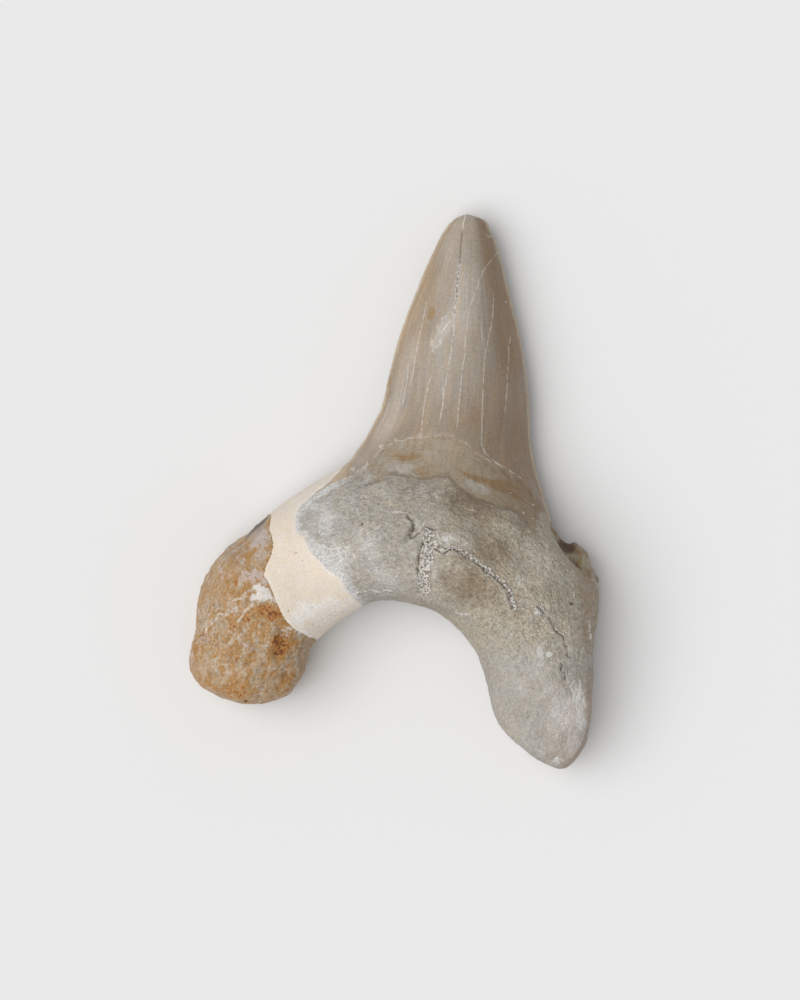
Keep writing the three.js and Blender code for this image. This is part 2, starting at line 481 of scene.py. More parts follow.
class SurfaceNet:
    """Lays a mesh of quads over the zero surface of a field on a grid."""

    def __init__(self, low: Sequence[float], high: Sequence[float], cell: float) -> None:
        """Set up the grid.

        Args:
            low: the lowest corner of its box, mm.
            high: the highest corner, mm.
            cell: the width of a cell, mm.
        """
        self.low = np.array(low, float)
        self.cell = cell
        self.axes = [np.arange(a, b + cell, cell) for a, b in zip(low, high)]

    def places(self) -> tuple[Array, Array, Array]:
        """Return the grid's x, y and z, shaped so that they spread over it."""
        x, y, z = self.axes
        return x[:, None, None], y[None, :, None], z[None, None, :]

    def lay(self, values: Array) -> Skin:
        """Lay the mesh.

        Args:
            values: the field at the grid's places, negative inside.

        Returns:
            The closed mesh, with its quads facing out.
        """
        inside = values < 0
        shape = np.array(values.shape) - 1
        corner_sets = [
            inside[tuple(slice(o, o + n) for o, n in zip(corner, shape))]
            for corner in product((0, 1), repeat=3)
        ]
        filled = np.sum(corner_sets, axis=0, dtype=np.uint8)
        active = (filled > 0) & (filled < 8)
        number = np.full(active.shape, -1, np.int64)
        number[active] = np.arange(np.count_nonzero(active))
        cells = np.argwhere(active)
        points = self._points(values, cells)
        quads = np.vstack([self._quads(inside, number, axis) for axis in range(3)])
        return Skin(self.low + self.cell * points, quads)

    @staticmethod
    def _points(values: Array, cells: Array) -> Array:
        """Place a point in each cell, at the mean of the crossings on its twelve edges.

        Args:
            values: the field at the grid's places.
            cells: the cells that the surface passes through, as rows of grid numbers.

        Returns:
            The points, in cells from the grid's lowest corner.
        """
        middle = np.zeros((len(cells), 3))
        crossings = np.zeros(len(cells))
        for axis in range(3):
            step = np.eye(3, dtype=int)[axis]
            for pair in product((0, 1), repeat=2):
                start = cells + np.insert(np.array(pair), axis, 0)
                here = values[tuple(start.T)]
                there = values[tuple((start + step).T)]
                crosses = (here < 0) != (there < 0)
                share = np.where(crosses, here / np.where(crosses, here - there, 1.0), 0.0)
                middle += np.where(crosses[:, None], start + share[:, None] * step, 0.0)
                crossings += crosses
        return middle / crossings[:, None]

    @staticmethod
    def _quads(inside: Array, number: Array, axis: int) -> Array:
        """Make the quads round the grid's edges that cross the surface.

        Args:
            inside: whether each of the grid's places is inside.
            number: each cell's point number.
            axis: the axis that the edges run along.

        Returns:
            One row of four point numbers for each quad.
        """
        step = np.eye(3, dtype=int)[axis]
        one, other = (axis + 1) % 3, (axis + 2) % 3
        size = np.array(inside.shape) - step
        here = inside[tuple(slice(0, n) for n in size)]
        there = inside[tuple(slice(o, o + n) for o, n in zip(step, size))]
        starts = np.argwhere(here != there)
        leaving = here[tuple(starts.T)]
        back_one, back_other = np.eye(3, dtype=int)[one], np.eye(3, dtype=int)[other]
        ring = [starts - back_one - back_other, starts - back_other, starts, starts - back_one]
        quads = np.stack([number[tuple(cell.T)] for cell in ring], axis=1)
        quads[~leaving] = quads[~leaving][:, ::-1]
        return quads


# ---- relief: what lies on the skin ----


@dataclass(frozen=True)
class Spot:
    """A soft-edged round or long place on the skin seen from above, mm."""

    x: float
    y: float
    radius: float
    amount: float = 1.0
    stretch: float = 1.0  # its length against its width
    turn: float = 0.0  # the way its length points, degrees from +X

    def weight(self, x: Array, y: Array) -> Array:
        """Tell how much of the spot there is at some places.

        Args:
            x: places across, mm.
            y: places along, mm.

        Returns:
            The amount at its middle, falling to 0 at its edge.
        """
        cosine, sine = math.cos(math.radians(self.turn)), math.sin(math.radians(self.turn))
        along = ((x - self.x) * cosine + (y - self.y) * sine) / self.stretch
        across = (y - self.y) * cosine - (x - self.x) * sine
        return self.amount * smoothstep(self.radius, 0.0, np.hypot(along, across))


def spots(*rows: tuple[float, ...]) -> tuple[Spot, ...]:
    """Make spots from rows of x, y, radius, amount, stretch and turn, of which three may be left off."""
    return tuple(Spot(*row) for row in rows)


@dataclass(frozen=True)
class Groove:
    """A groove along a line, with lips that may stand up a little, mm."""

    line: Line
    half_width: float
    depth: float
    lip: float = 0.0

    def height(self, x: Array, y: Array) -> Array:
        """Return the height it adds, below zero in the groove."""
        gap = np.abs(self.line.measure(x, y)[0]) / self.half_width
        return self.lip * np.exp(-((gap - 2.0) ** 2)) - self.depth * np.exp(-(gap**2))


@dataclass(frozen=True)
class Stroke:
    """A hairline, scratch or crack on the skin."""

    line: Line
    strength: float = 1.0


def total(spots: Sequence[Spot], x: Array, y: Array) -> Array:
    """Add up some spots' weights."""
    return sum((spot.weight(x, y) for spot in spots), np.zeros(x.shape))


STROKE_STEP = 20.0  # keeps the lengths passed on different strokes apart, mm


def nearest_stroke(strokes: Sequence[Stroke], x: Array, y: Array, reach: float = 0.5) -> Array:
    """Tell where each point lies by the nearest of some strokes.

    Args:
        strokes: the strokes.
        x: places across, mm.
        y: places along, mm.
        reach: how far from a stroke the third value falls to nothing, mm.

    Returns:
        A row for each point: signed distance, mm, length passed, mm, and strength by nearness.
    """
    rows = np.zeros((len(x), 3))
    best = np.full(len(x), np.inf)
    for i, stroke in enumerate(strokes):
        gap, passed = stroke.line.measure(x, y)
        near = np.abs(gap) < best
        best = np.where(near, np.abs(gap), best)
        force = stroke.strength * np.clip(1.0 - np.abs(gap) / reach, 0.0, 1.0)
        mine = np.stack([gap, passed + STROKE_STEP * i, force], axis=1)
        rows = np.where(near[:, None], mine, rows)
    return rows


class Marks:
    """Where the cracks, stains and worn places lie, seen from above, mm."""

    ENAMEL_MARGIN = Line((
        (-14.0, -3.0), (-8.4, -0.2), (-4.7, 1.8), (-3.0, 2.7), (-1.4, 4.7), (0.2, 5.3), (2.6, 5.8),
        (4.0, 6.0), (6.4, 5.9), (7.5, 5.1), (8.9, 4.2), (10.7, 3.1), (12.0, 2.6), (13.8, 1.4),
        (15.5, -1.0), (16.9, -3.5), (18.9, -6.3), (21.0, -9.0),
    ))
    BAND_GROOVE = Line((
        (-14.0, -4.6), (-8.4, -1.9), (-5.4, -0.2), (-3.8, 0.5), (-1.8, 1.3), (-0.3, 2.0), (1.3, 1.8),
        (2.1, 1.4), (4.0, 1.4), (5.8, 1.7), (6.7, 0.7), (8.2, -0.4), (8.9, -0.9), (10.5, -1.4),
        (12.7, -1.9), (14.2, -3.0), (15.8, -4.5), (18.2, -6.8), (20.4, -9.4),
    ))
    NUTRIENT_GROOVE = Line(((3.8, -4.6), (3.5, -6.3), (3.2, -8.2), (3.2, -10.6)))
    NUTRIENT_EDGE = Line(((2.9, -5.6), (2.6, -7.2), (2.5, -8.3), (2.5, -9.1)))
    NUTRIENT_MOUTH = Line(((1.4, -2.8), (1.9, -3.3), (2.0, -3.9), (1.6, -4.5), (1.8, -5.0), (2.5, -4.7)))
    NUTRIENT_BROW = Line(((2.8, -4.3), (3.5, -4.0), (4.2, -4.4), (4.8, -4.2)))
    CUSP_EDGE = Line((
        (16.8, -4.0), (18.1, -5.7), (19.2, -7.0), (20.2, -8.3), (21.2, -9.4), (22.9, -10.6),
    ))
    FLANK_EDGE = Line((
        (16.6, -3.6), (18.0, -5.8), (19.1, -7.8), (19.8, -11.4), (20.1, -14.2), (19.9, -18.5),
    ))
    LONG_CRACK = Line((
        (4.4, -6.2), (5.3, -6.6), (6.2, -6.3), (7.1, -6.7), (8.7, -7.8), (10.5, -9.1), (11.6, -10.1),
        (12.3, -11.3), (12.5, -12.5),
    ))
    LOBE_CRACK = Line((
        (14.9, -12.3), (15.4, -12.8), (15.8, -13.3), (16.4, -13.7), (16.8, -14.4), (17.3, -15.2),
    ))
    LOBE_CRACK_TAIL = Line((
        (17.4, -15.2), (18.1, -15.8), (18.1, -16.4), (18.6, -17.1), (18.9, -17.7),
    ))
    LOW_CRACK = Line(((17.8, -18.6), (18.0, -19.3), (18.2, -20.0), (18.4, -20.3)))
    LOBE_EDGE = Line(((-16.6, -5.5), (-16.3, -5.2), (-15.2, -4.1), (-14.1, -3.0), (-13.8, -2.6)))
    TIP_CRACK = Line((
        (7.8, 30.6), (7.5, 29.0), (7.3, 27.4), (7.2, 26.0), (7.1, 24.7), (6.9, 23.5), (6.8, 22.2),
        (6.7, 20.4), (6.5, 19.4), (6.4, 18.2), (6.4, 17.2), (6.2, 15.7), (6.0, 14.2), (5.7, 12.7),
        (5.3, 10.7), (5.2, 9.2),
    ))
    TOOTH_TO_FILLER = Line((
        (-4.6, 5.4), (-5.5, 2.6), (-6.8, 1.0), (-8.4, 0.0), (-10.1, -1.5), (-10.8, -2.9),
        (-10.5, -4.2), (-9.3, -5.6), (-7.4, -8.4), (-5.9, -9.6), (-4.0, -11.9), (-1.6, -14.2),
    ))
    FILLER_TO_LOBE = Line((
        (-14.4, -1.0), (-13.4, -3.0), (-13.2, -4.3), (-13.1, -5.7), (-13.4, -7.2), (-13.9, -9.1),
        (-13.1, -11.0), (-12.8, -12.0), (-12.1, -13.4), (-10.5, -15.0), (-7.0, -17.3),
    ))

    ROOT_CRACKS = (
        Stroke(LONG_CRACK), Stroke(LOBE_CRACK, 1.4), Stroke(LOBE_CRACK_TAIL, 0.85),
        Stroke(LOW_CRACK, 0.75), Stroke(NUTRIENT_EDGE, 0.9), Stroke(NUTRIENT_MOUTH, 0.8),
        Stroke(NUTRIENT_BROW, 0.6),
    )
    # The cracks with crumbs beside them, and how thickly the crumbs lie.
    CRUMBLED = ((LONG_CRACK, 1.0), (LOBE_CRACK, 0.5), (NUTRIENT_MOUTH, 0.3))
    HAIRLINES = (
        Stroke(Line(((3.5, 20.4), (3.0, 18.2), (2.5, 15.7), (2.0, 12.7), (1.6, 10.7))), 0.75),
        Stroke(Line(((3.9, 12.2), (3.4, 10.2), (3.1, 8.4), (2.9, 6.4))), 0.85),
        Stroke(Line(((7.6, 14.7), (7.4, 13.7), (7.2, 11.7), (7.0, 9.7), (6.9, 8.7), (6.8, 6.9))), 0.9),
        Stroke(Line((
            (11.2, 26.0), (9.6, 23.8), (8.9, 21.8), (8.1, 19.7), (7.9, 17.9), (7.6, 15.5),
        )), 0.8),
        Stroke(Line(((9.4, 18.2), (9.5, 16.2))), 0.8),
        Stroke(Line((
            (10.8, 21.4), (10.7, 19.2), (10.4, 17.4), (10.0, 15.7), (9.7, 13.9), (9.6, 11.4),
            (9.5, 8.4), (9.4, 6.4), (9.4, 5.0), (9.8, 4.0), (10.9, 3.1), (11.7, 2.5),
        )), 0.85),
        Stroke(Line(((12.6, 16.7), (12.4, 13.7), (12.2, 10.7), (12.0, 8.7))), 0.75),
        Stroke(Line(((1.5, 14.1), (1.4, 12.2), (0.9, 9.4))), 0.7),
        Stroke(Line(((-2.9, 3.1), (-3.1, 2.1))), 0.7),
        Stroke(Line(((5.2, 12.0), (5.2, 9.2), (4.9, 7.6))), 0.75),
    )
    ROOT_SCRATCHES = (
        Stroke(Line(((-8.2, -5.8), (-6.9, -6.3), (-6.0, -6.2), (-4.7, -6.0))), 0.7),
        Stroke(Line(((-8.0, -6.2), (-7.5, -6.8), (-6.9, -7.4))), 0.9),
        Stroke(Line(((-6.9, -6.9), (-6.2, -6.8), (-5.4, -6.3))), 0.8),
        Stroke(Line(((-6.6, -8.3), (-5.9, -7.8), (-5.4, -7.3))), 0.7),
        Stroke(Line(((-5.3, -11.4), (-4.9, -11.2), (-2.5, -10.9), (-0.2, -10.8))), 0.9),
        Stroke(Line(((-1.8, -1.9), (-0.2, -2.3), (1.6, -2.4))), 0.5),
        Stroke(Line(((6.6, -13.1), (8.0, -13.3))), 0.55),
        Stroke(Line(((19.1, -10.2), (19.3, -11.4))), 0.9),
        Stroke(Line(((21.0, -14.2), (21.2, -16.0))), 0.95),
        Stroke(Line(((18.6, -20.4), (19.5, -21.8), (20.0, -23.4), (20.0, -25.0))), 0.9),
        Stroke(Line(((19.9, -20.0), (20.3, -21.8), (20.7, -23.6))), 0.9),
        Stroke(Line(((19.3, -20.6), (20.1, -22.4), (20.5, -24.4))), 0.8),
    )
    LOBE_VEINS = (
        Stroke(Line(((-15.0, -10.5), (-16.0, -11.0), (-17.2, -11.9))), 0.9),
        Stroke(Line(((-14.9, -11.9), (-15.9, -12.6), (-16.8, -14.0))), 0.9),
        Stroke(Line(((-16.9, -12.8), (-18.9, -13.5), (-20.0, -14.9), (-20.9, -16.3))), 0.8),
        Stroke(Line(((-15.6, -4.8), (-15.9, -7.0), (-16.4, -9.0))), 0.4),
        Stroke(Line(((-13.4, -16.6), (-14.0, -18.6))), 0.5),
    )


# ---- the pieces ----


class Side(Enum):
    """Which side of a seam a piece keeps."""

    LEFT = -1
    RIGHT = 1


@dataclass(frozen=True)
class Seam:
    """A join between two pieces: a line seen from above, with a wall that wavers, mm."""

    line: Line
    seed: int
    waver: float = 0.35  # how far the wall strays from the line
    wave: float = 2.6  # the width of its waves
    reach: float = 2.5  # how far from the line they are worked out

    def side(self, x: Array, y: Array, z: Array) -> Array:
        """Measure from the join.

        Args:
            x: places across, mm.
            y: places along, mm.
            z: heights, mm.

        Returns:
            The distance from the join, mm, positive on the line's left.
        """
        gap, _ = self.line.measure(x, y)
        near = np.abs(gap) < self.reach
        gap = gap + np.zeros(np.broadcast_shapes(gap.shape, z.shape))
        near = np.broadcast_to(near, gap.shape)
        places = np.stack([np.broadcast_to(v, gap.shape)[near] for v in (x, y, z)], axis=1)
        noise = Noise(self.seed)
        gap[near] += self.waver * noise(places, self.wave, 2, 0.4)
        return gap


TO_FILLER = Seam(Marks.TOOTH_TO_FILLER, 31)
TO_LOBE = Seam(Marks.FILLER_TO_LOBE, 32)
FILLER_LAP = 0.3  # how far the filler runs in under its neighbours, mm


@dataclass
class Piece:
    """One piece of the mended tooth, from field to dressed mesh."""

    body: Body
    name: str
    node: str
    slot: str
    low: tuple[float, float, float]
    high: tuple[float, float, float]
    seams: tuple[tuple[Seam, Side, float], ...]  # join, side kept, and how far past it, mm

    CORNER = 0.55  # how near a seam's edge a point is drawn onto it, cells
    PULL = 1.2  # the farthest that it is drawn, cells
    PROBE = 0.01  # the step that slopes are measured over, mm
    CREASE = 55.0  # a bend sharper than this is shaded as an edge, degrees
    NEAR, WIDE = 4, 30  # rounds of spreading, for hollows near by and further off

    def build(self, finish: "Finish") -> bpy.types.Object:
        """Make the piece's mesh, write its marks on it and dress it.

        Args:
            finish: what its skin looks like.

        Returns:
            The piece, riding the tooth's body.
        """
        net = SurfaceNet(self.low, self.high, CELL)
        places = net.places()
        values = self.field(*places)
        for seam, side, past in self.seams:
            values = np.maximum(values, side.value * seam.side(*places) - past)
        skin = net.lay(values)
        self._sharpen(skin)
        smooth = skin.points.copy()
        normals = skin.normals()
        skin.points += normals * self.relief(smooth, normals)[:, None]
        skin.points[:, 2] = np.maximum(skin.points[:, 2], 0.0)
        piece = self._mesh(skin)
        for name, values in self.marks(skin, smooth, normals).items():
            self._write(piece.data, name, values)
        piece.data.materials.append(finish.material())
        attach(piece, "root")
        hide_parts(self.node)
        log.info("%s: %d points, %d quads", self.name, len(skin.points), len(skin.quads))
        return piece

    def field(self, x: Array, y: Array, z: Array) -> Array:
        """Return the distance outside the piece's skin, mm, as if it had no seams."""
        return self.body.field(x, y, z)

    def _sharpen(self, skin: Skin) -> None:
        """Pull the points beside a seam onto the line where the skin meets the seam's wall.

        Args:
            skin: the mesh, whose points are moved.
        """
        for seam, side, past in self.seams:
            fields = (self.field, lambda x, y, z: side.value * seam.side(x, y, z) - past)
            gaps = np.stack([field(*skin.points.T) for field in fields])
            near = np.all(np.abs(gaps) < self.CORNER * CELL, axis=0)
            points = skin.points[near]
            for _ in range(2):
                gaps = np.stack([field(*points.T) for field in fields], axis=1)
                slopes = np.stack([
                    np.stack([field(*(points + step).T) for field in fields], axis=1) - gaps
                    for step in np.eye(3) * self.PROBE
                ], axis=2) / self.PROBE
                points = points - np.einsum("nji,ni->nj", np.linalg.pinv(slopes), gaps)
            moved = np.linalg.norm(points - skin.points[near], axis=1) < self.PULL * CELL
            rows = np.flatnonzero(near)[moved]
            skin.points[rows] = points[moved]

    def relief(self, points: Array, normals: Array) -> Array:
        """Return how far each point moves out along its normal, mm."""
        raise NotImplementedError

    def marks(self, skin: Skin, points: Array, normals: Array) -> dict[str, Array]:
        """Return the values that the finish reads, one or three for each point."""
        raise NotImplementedError

    def _mesh(self, skin: Skin) -> bpy.types.Object:
        """Turn the skin into a Blender object.

        Args:
            skin: the piece's mesh, mm.

        Returns:
            The object, in metres.
        """
        mesh = bpy.data.meshes.new(self.name)
        mesh.vertices.add(len(skin.points))
        mesh.vertices.foreach_set("co", (skin.points * MM).astype(np.float32).ravel())
        mesh.loops.add(skin.quads.size)
        mesh.loops.foreach_set("vertex_index", skin.quads.astype(np.int32).ravel())
        mesh.polygons.add(len(skin.quads))
        mesh.polygons.foreach_set("loop_start", np.arange(0, skin.quads.size, 4, dtype=np.int32))
        mesh.polygons.foreach_set("use_smooth", np.ones(len(skin.quads), dtype=bool))
        mesh.update(calc_edges=True)
        mesh.validate()
        mesh.set_sharp_from_angle(angle=math.radians(self.CREASE))
        piece = bpy.data.objects.new(self.name, mesh)
        bpy.context.scene.collection.objects.link(piece)
        return piece

    @staticmethod
    def _write(mesh: bpy.types.Mesh, name: str, values: Array) -> None:
        """Write values on the mesh's points.

        Args:
            mesh: the mesh.
            name: the name that the finish reads them by.
            values: a number or three for each point.
        """
        kind, key = ("FLOAT_VECTOR", "vector") if values.ndim == 2 else ("FLOAT", "value")
        layer = mesh.attributes.new(name, kind, "POINT")
        layer.data.foreach_set(key, values.astype(np.float32).ravel())

    @classmethod
    def hollows(cls, skin: Skin) -> tuple[Array, Array]:
        """Measure how deep each point lies among its neighbours.

        Args:
            skin: the mesh to measure, mm.

        Returns:
            The depths against the points near by and further off, mm.
        """
        normals = skin.normals()
        found = []
        for rounds in (cls.NEAR, cls.WIDE):
            offset = skin.averaged(skin.points, rounds) - skin.points
            found.append(np.einsum("ij,ij->i", offset, normals))
        return found[0], found[1]


@dataclass
class NaturalTooth(Piece):
    """The blade, root and side cusp of the tooth itself."""

    lumps: tuple[tuple[float, float], ...] = ((8.0, 0.3), (3.4, 0.2), (1.3, 0.09), (0.6, 0.05))
    enamel_lift: float = 0.05
    enamel_waves: float = 0.035
    valley_depth: float = 0.45  # the dip between the blade's foot and the side cusp
    shelf_drop: float = 0.2  # the groove along the band's lower edge
    shelf_lip: float = 0.10
    worn_edge: float = 0.07  # flecks lost from the cutting edges
    rises: tuple[Spot, ...] = spots(
        (-2.9, -5.8, 4.2, 0.5), (-7.6, -3.8, 3.2, 0.3), (6.7, -9.3, 4.0, 0.4), (14.9, -12.0, 4.0, 0.4),
        (16.0, -20.8, 5.0, 0.3), (10.2, -5.2, 3.2, -0.75, 1.2, -40), (1.9, -4.1, 0.9, -0.4),
        (1.2, -5.0, 0.7, -0.25, 2.0, 30), (-3.5, -3.7, 0.3, -0.3), (19.0, -12.2, 0.4, -0.25),
        (17.6, -14.4, 2.2, 0.25, 2.2, -52), (-2.2, -1.6, 2.2, -0.25, 2.0, 20),
        (4.6, -2.2, 2.0, 0.25, 1.8, 10), (12.6, -8.2, 2.0, 0.3, 1.6, -50),
        (8.2, -7.4, 1.6, -0.2, 1.6, -35), (19.6, -16.4, 1.8, 0.2, 2.0, -70),
    )
    grooves: tuple[Groove, ...] = (
        Groove(Marks.NUTRIENT_GROOVE, 0.6, 0.16, 0.05), Groove(Marks.NUTRIENT_EDGE, 0.16, 0.16),
        Groove(Marks.LONG_CRACK, 0.13, 0.16, 0.08), Groove(Marks.LOBE_CRACK, 0.13, 0.14, 0.08),
        Groove(Marks.LOBE_CRACK_TAIL, 0.12, 0.06, 0.03), Groove(Marks.LOW_CRACK, 0.13, 0.1, 0.03),
        Groove(Marks.NUTRIENT_MOUTH, 0.2, 0.16, 0.08),
    )
    pale: tuple[Spot, ...] = spots(  # where the root and band are lighter, or darker below zero
        (-2.9, -5.6, 2.6, 0.75), (-7.4, -3.3, 2.6, 0.9), (-6.2, -7.4, 3.0, 0.9), (-7.4, -1.2, 2.0, 0.5),
        (-0.4, -9.6, 2.6, 0.5, 1.6), (3.6, -7.6, 1.3, 0.7, 2.2, 90), (15.4, -7.4, 3.4, 0.6, 1.6, -50),
        (6.6, -5.6, 1.6, 0.7, 1.5, -20), (16.0, -18.6, 4.6, 0.3, 1.5, -70),
        (18.4, -24.2, 3.4, 1.0, 1.5, -80), (20.2, -23.6, 1.4, 0.5, 2.4, -82), (19.4, -28.0, 1.9, 0.8),
        (15.9, -17.2, 1.3, 0.3), (13.8, -9.9, 1.4, 0.4), (-7.6, -8.2, 1.6, 0.6, 3.0, -38),
        (5.6, -5.0, 0.9, 0.7, 1.6, -10), (10.6, -6.2, 3.0, -0.75, 1.3, -40),
        (8.4, -1.6, 2.6, -0.7, 1.8, -20), (13.0, -3.0, 2.4, -0.3, 1.4, -40),
        (2.0, -1.4, 4.0, -0.25, 1.8, 0), (7.8, -10.4, 3.2, -0.6, 1.5, -25),
        (3.9, -12.4, 1.8, -0.3, 1.8), (12.2, -12.6, 2.2, -0.35), (17.8, -12.6, 2.6, -0.25, 1.6, -60),
        # (0.6, 2.5) and (8.8, 0.4) are long pale streaks on the band: painted highlights.
        (1.7, -4.2, 1.3, -0.3), (0.6, 2.5, 0.6, 1.8, 4.2, 4), (8.8, 0.4, 0.8, 2.4, 3.0, -24),
        (4.4, 4.2, 0.8, 0.6, 2.6), (12.6, -20.8, 2.2, 0.45), (16.4, -28.8, 1.5, -0.3),
        (8.2, -9.4, 4.2, -0.35, 1.4, -35), (6.9, -5.7, 1.6, -0.35), (14.4, -4.2, 2.0, -0.3, 1.4, -50),
        (11.2, -11.7, 1.8, -0.1), (13.4, -9.5, 1.3, 0.4), (-1.5, -9.0, 2.2, 0.4),
    )
    tan: tuple[Spot, ...] = spots(  # brown and orange stains
        (1.2, 3.7, 0.75, 1.3, 3.4, 2), (8.6, 1.4, 0.75, 1.1, 3.6, -24), (11.2, 0.7, 0.9, 1.7, 2.4, -27),
        (13.6, -0.4, 1.5, 0.8, 2.0, -40), (7.2, -9.6, 2.4, 0.65, 1.5, 10),
        (9.6, -10.8, 2.0, 0.6, 1.4, -20), (4.0, 19.2, 0.65, 1.3, 2.0, 85),
        (8.6, 7.6, 2.2, 0.5, 1.3, 60), (13.0, -11.1, 0.3, 2.6), (14.5, -10.7, 0.26, 2.2),
        (10.1, -10.7, 0.2, 2.2), (10.9, -10.2, 0.18, 2.0), (6.2, -8.2, 0.2, 2.0),
        (7.2, -7.3, 0.18, 1.8), (9.3, -9.5, 0.16, 1.8), (-3.5, -3.7, 0.3, 1.3, 1.8, 90),
        (10.4, -5.8, 2.4, 0.35, 1.5, -40), (-0.7, 12.0, 0.6, 1.6, 2.2, 75),
        (3.2, 2.2, 1.0, 0.5, 2.4, 5), (6.6, -6.0, 1.3, 0.3, 1.5, -20), (8.0, -1.4, 2.4, 0.35, 2.0, -20),
        (10.6, -7.5, 7.0, 0.5, 1.3, -35),
    )
    dust: tuple[Spot, ...] = spots(  # white grains and scuffs
        (16.7, -17.4, 0.4, 0.8), (17.5, -29.2, 0.8, 0.9, 1.6, 10), (20.3, -24.9, 0.6, 2.0, 1.4, -80),
        (7.3, -5.6, 1.0, 0.5, 2.0, -35), (-7.3, -6.9, 0.8, 0.8, 1.6, -30),
        (-8.6, -1.7, 0.8, 0.8, 1.6, 30), (-6.3, -8.6, 0.6, 0.7, 1.6, -60),
        (-4.8, -10.2, 0.7, 0.6, 1.6, -50), (12.7, -12.3, 0.7, 0.9), (15.2, -12.9, 0.8, 0.8, 1.5, -30),
        (5.5, 17.9, 1.3, 1.0, 1.6, 66), (4.5, 15.8, 1.1, 0.9, 1.6, 60),
        (10.3, 27.8, 0.28, 1.2, 1.8, -20), (-1.4, 4.8, 0.3, 1.2), (0.2, 5.4, 0.32, 1.0),
        (-4.6, 2.3, 0.35, 1.2, 1.6, 10), (2.7, 5.9, 0.35, 1.2, 1.5, 20), (11.9, 2.6, 0.3, 1.3),
        (11.4, -1.0, 0.22, 0.9), (13.4, -0.9, 0.25, 0.9), (17.4, -7.2, 0.4, 0.7, 1.6, -50),
        (5.5, -5.2, 0.8, 0.7, 1.5, -8), (15.7, -2.3, 0.25, 0.9), (14.4, -2.9, 0.3, 0.8, 2.0, -40),
        (19.0, -9.4, 0.3, 0.6, 2.5, -60),
    )
    # Places on the side cusp's valley, chips of chalk, pinholes, brushed streaks, pale enamel.
    valley: tuple[Spot, ...] = spots((19.9, -7.8, 0.7, 0.7, 2.6, -50), (19.8, -6.5, 0.9, 0.9, 1.3, -30))
    chips: tuple[Spot, ...] = spots(
        (12.7, 0.0, 0.16), (12.6, -0.25, 0.12), (14.0, -2.5, 0.18), (14.6, -1.8, 0.14),
        (15.2, -1.5, 0.16), (15.0, -2.9, 0.2), (11.9, 2.3, 0.16), (-2.9, 3.0, 0.14), (-1.6, 4.7, 0.16),
        (0.1, 5.3, 0.15), (9.8, 27.9, 0.16), (8.6, -5.6, 0.16), (7.6, -4.9, 0.2), (6.4, -4.4, 0.25),
        (9.9, -6.6, 0.14), (5.9, -8.0, 0.16), (-5.2, 2.0, 0.2), (-4.4, 2.5, 0.16), (13.0, -12.9, 0.2),
        (15.0, -12.4, 0.16), (2.9, -5.0, 0.2), (-7.9, -4.4, 0.18), (3.3, 9.0, 0.1), (12.2, 20.6, 0.12),
        (16.7, -17.5, 0.5), (16.5, -17.45, 0.45), (15.8, -16.5, 0.25), (14.9, -16.6, 0.2),
        (15.5, -15.3, 0.16),
    )
    pins: tuple[Spot, ...] = spots(
        (19.0, -12.2, 0.3, 1.5), (-3.4, -3.6, 0.22, 1.0, 1.6, 90), (12.5, -21.0, 0.2),
    )
    brushed: tuple[Spot, ...] = spots(
        (20.0, -22.4, 1.1, 1.4, 2.7, -80), (19.0, -20.6, 0.9, 0.8, 1.5, -60),
    )
    crown_pale: tuple[Spot, ...] = spots(
        (7.9, 20.6, 2.6, 1.2, 3.0, 84), (3.9, 14.6, 2.8, 0.6, 2.4, 78), (-0.6, 8.0, 2.2, 1.0, 2.4, 66),
        (6.0, 26.0, 1.6, 0.35, 2.0, 80), (-3.4, 3.5, 1.8, 0.35, 1.8, 50),
        (1.6, 15.0, 1.8, 0.5, 2.2, 76), (5.0, 17.0, 1.5, 0.6, 1.6, 75), (6.2, 18.8, 1.4, 0.5, 1.6, 80),
        (0.8, 12.0, 1.6, 0.35, 2.5, 78),
    )

    def relief(self, points: Array, normals: Array) -> Array:
        """Work out the relief.

        Args:
            points: the smooth skin's points, mm.
            normals: their outward directions.

        Returns:
            How far each point moves out, mm.
        """
        x, y, z = points.T
        upper = smoothstep(-0.2, 0.4, normals[:, 2])
        enamel, band = self._margins(points)
        bare = smoothstep(0.15, -0.5, enamel)
        rough = smoothstep(0.1, -0.9, band) * bare
        seam = TO_FILLER.side(x, y, z)
        rough = rough * smoothstep(-0.3, 1.3, seam)
        noise = Noise(11)
        height = self.enamel_lift * (smoothstep(-0.1, 0.15, enamel) - 1.0)
        height = height * smoothstep(0.0, 1.0, seam)
        for size, rise in self.lumps:
            height += rough * rise * noise(points + size, size)
        stretched = points * np.array([1.0, 0.14, 1.0])
        height += self.enamel_waves * (1.0 - rough) * Noise(12)(stretched, 1.6, 2)
        bent = x + 0.22 * Noise(13)(points, 1.4, 2), y + 0.22 * Noise(14)(points, 1.4, 2)
        height += upper * rough * total(self.rises, *bent)
        # The valley between the blade and the side cusp, its deepest place, and the cusp's knobs.
        cusp, _ = Marks.CUSP_EDGE.measure(*bent)
        valley = np.exp(-(((cusp - 0.1) / 0.45) ** 2))
        valley = valley * smoothstep(17.4, 18.6, x) * smoothstep(21.6, 20.4, x)
        height -= upper * self.valley_depth * valley
        height -= Spot(19.2, -6.1, 0.9, 0.6, 1.5, -35).weight(x, y) * (z > 2.0)
        knobs = smoothstep(-0.3, 0.3, cusp) * (x > 17.5) * (y > -13.0)
        height += knobs * (0.3 * Noise(25)(points, 1.9, 2) + 0.12 * Noise(26)(points, 0.7))
        ragged = 1.0 + 0.9 * Noise(15)(points, 1.1, 2)
        for groove in self.grooves:
            height += upper * ragged * groove.height(*bent)
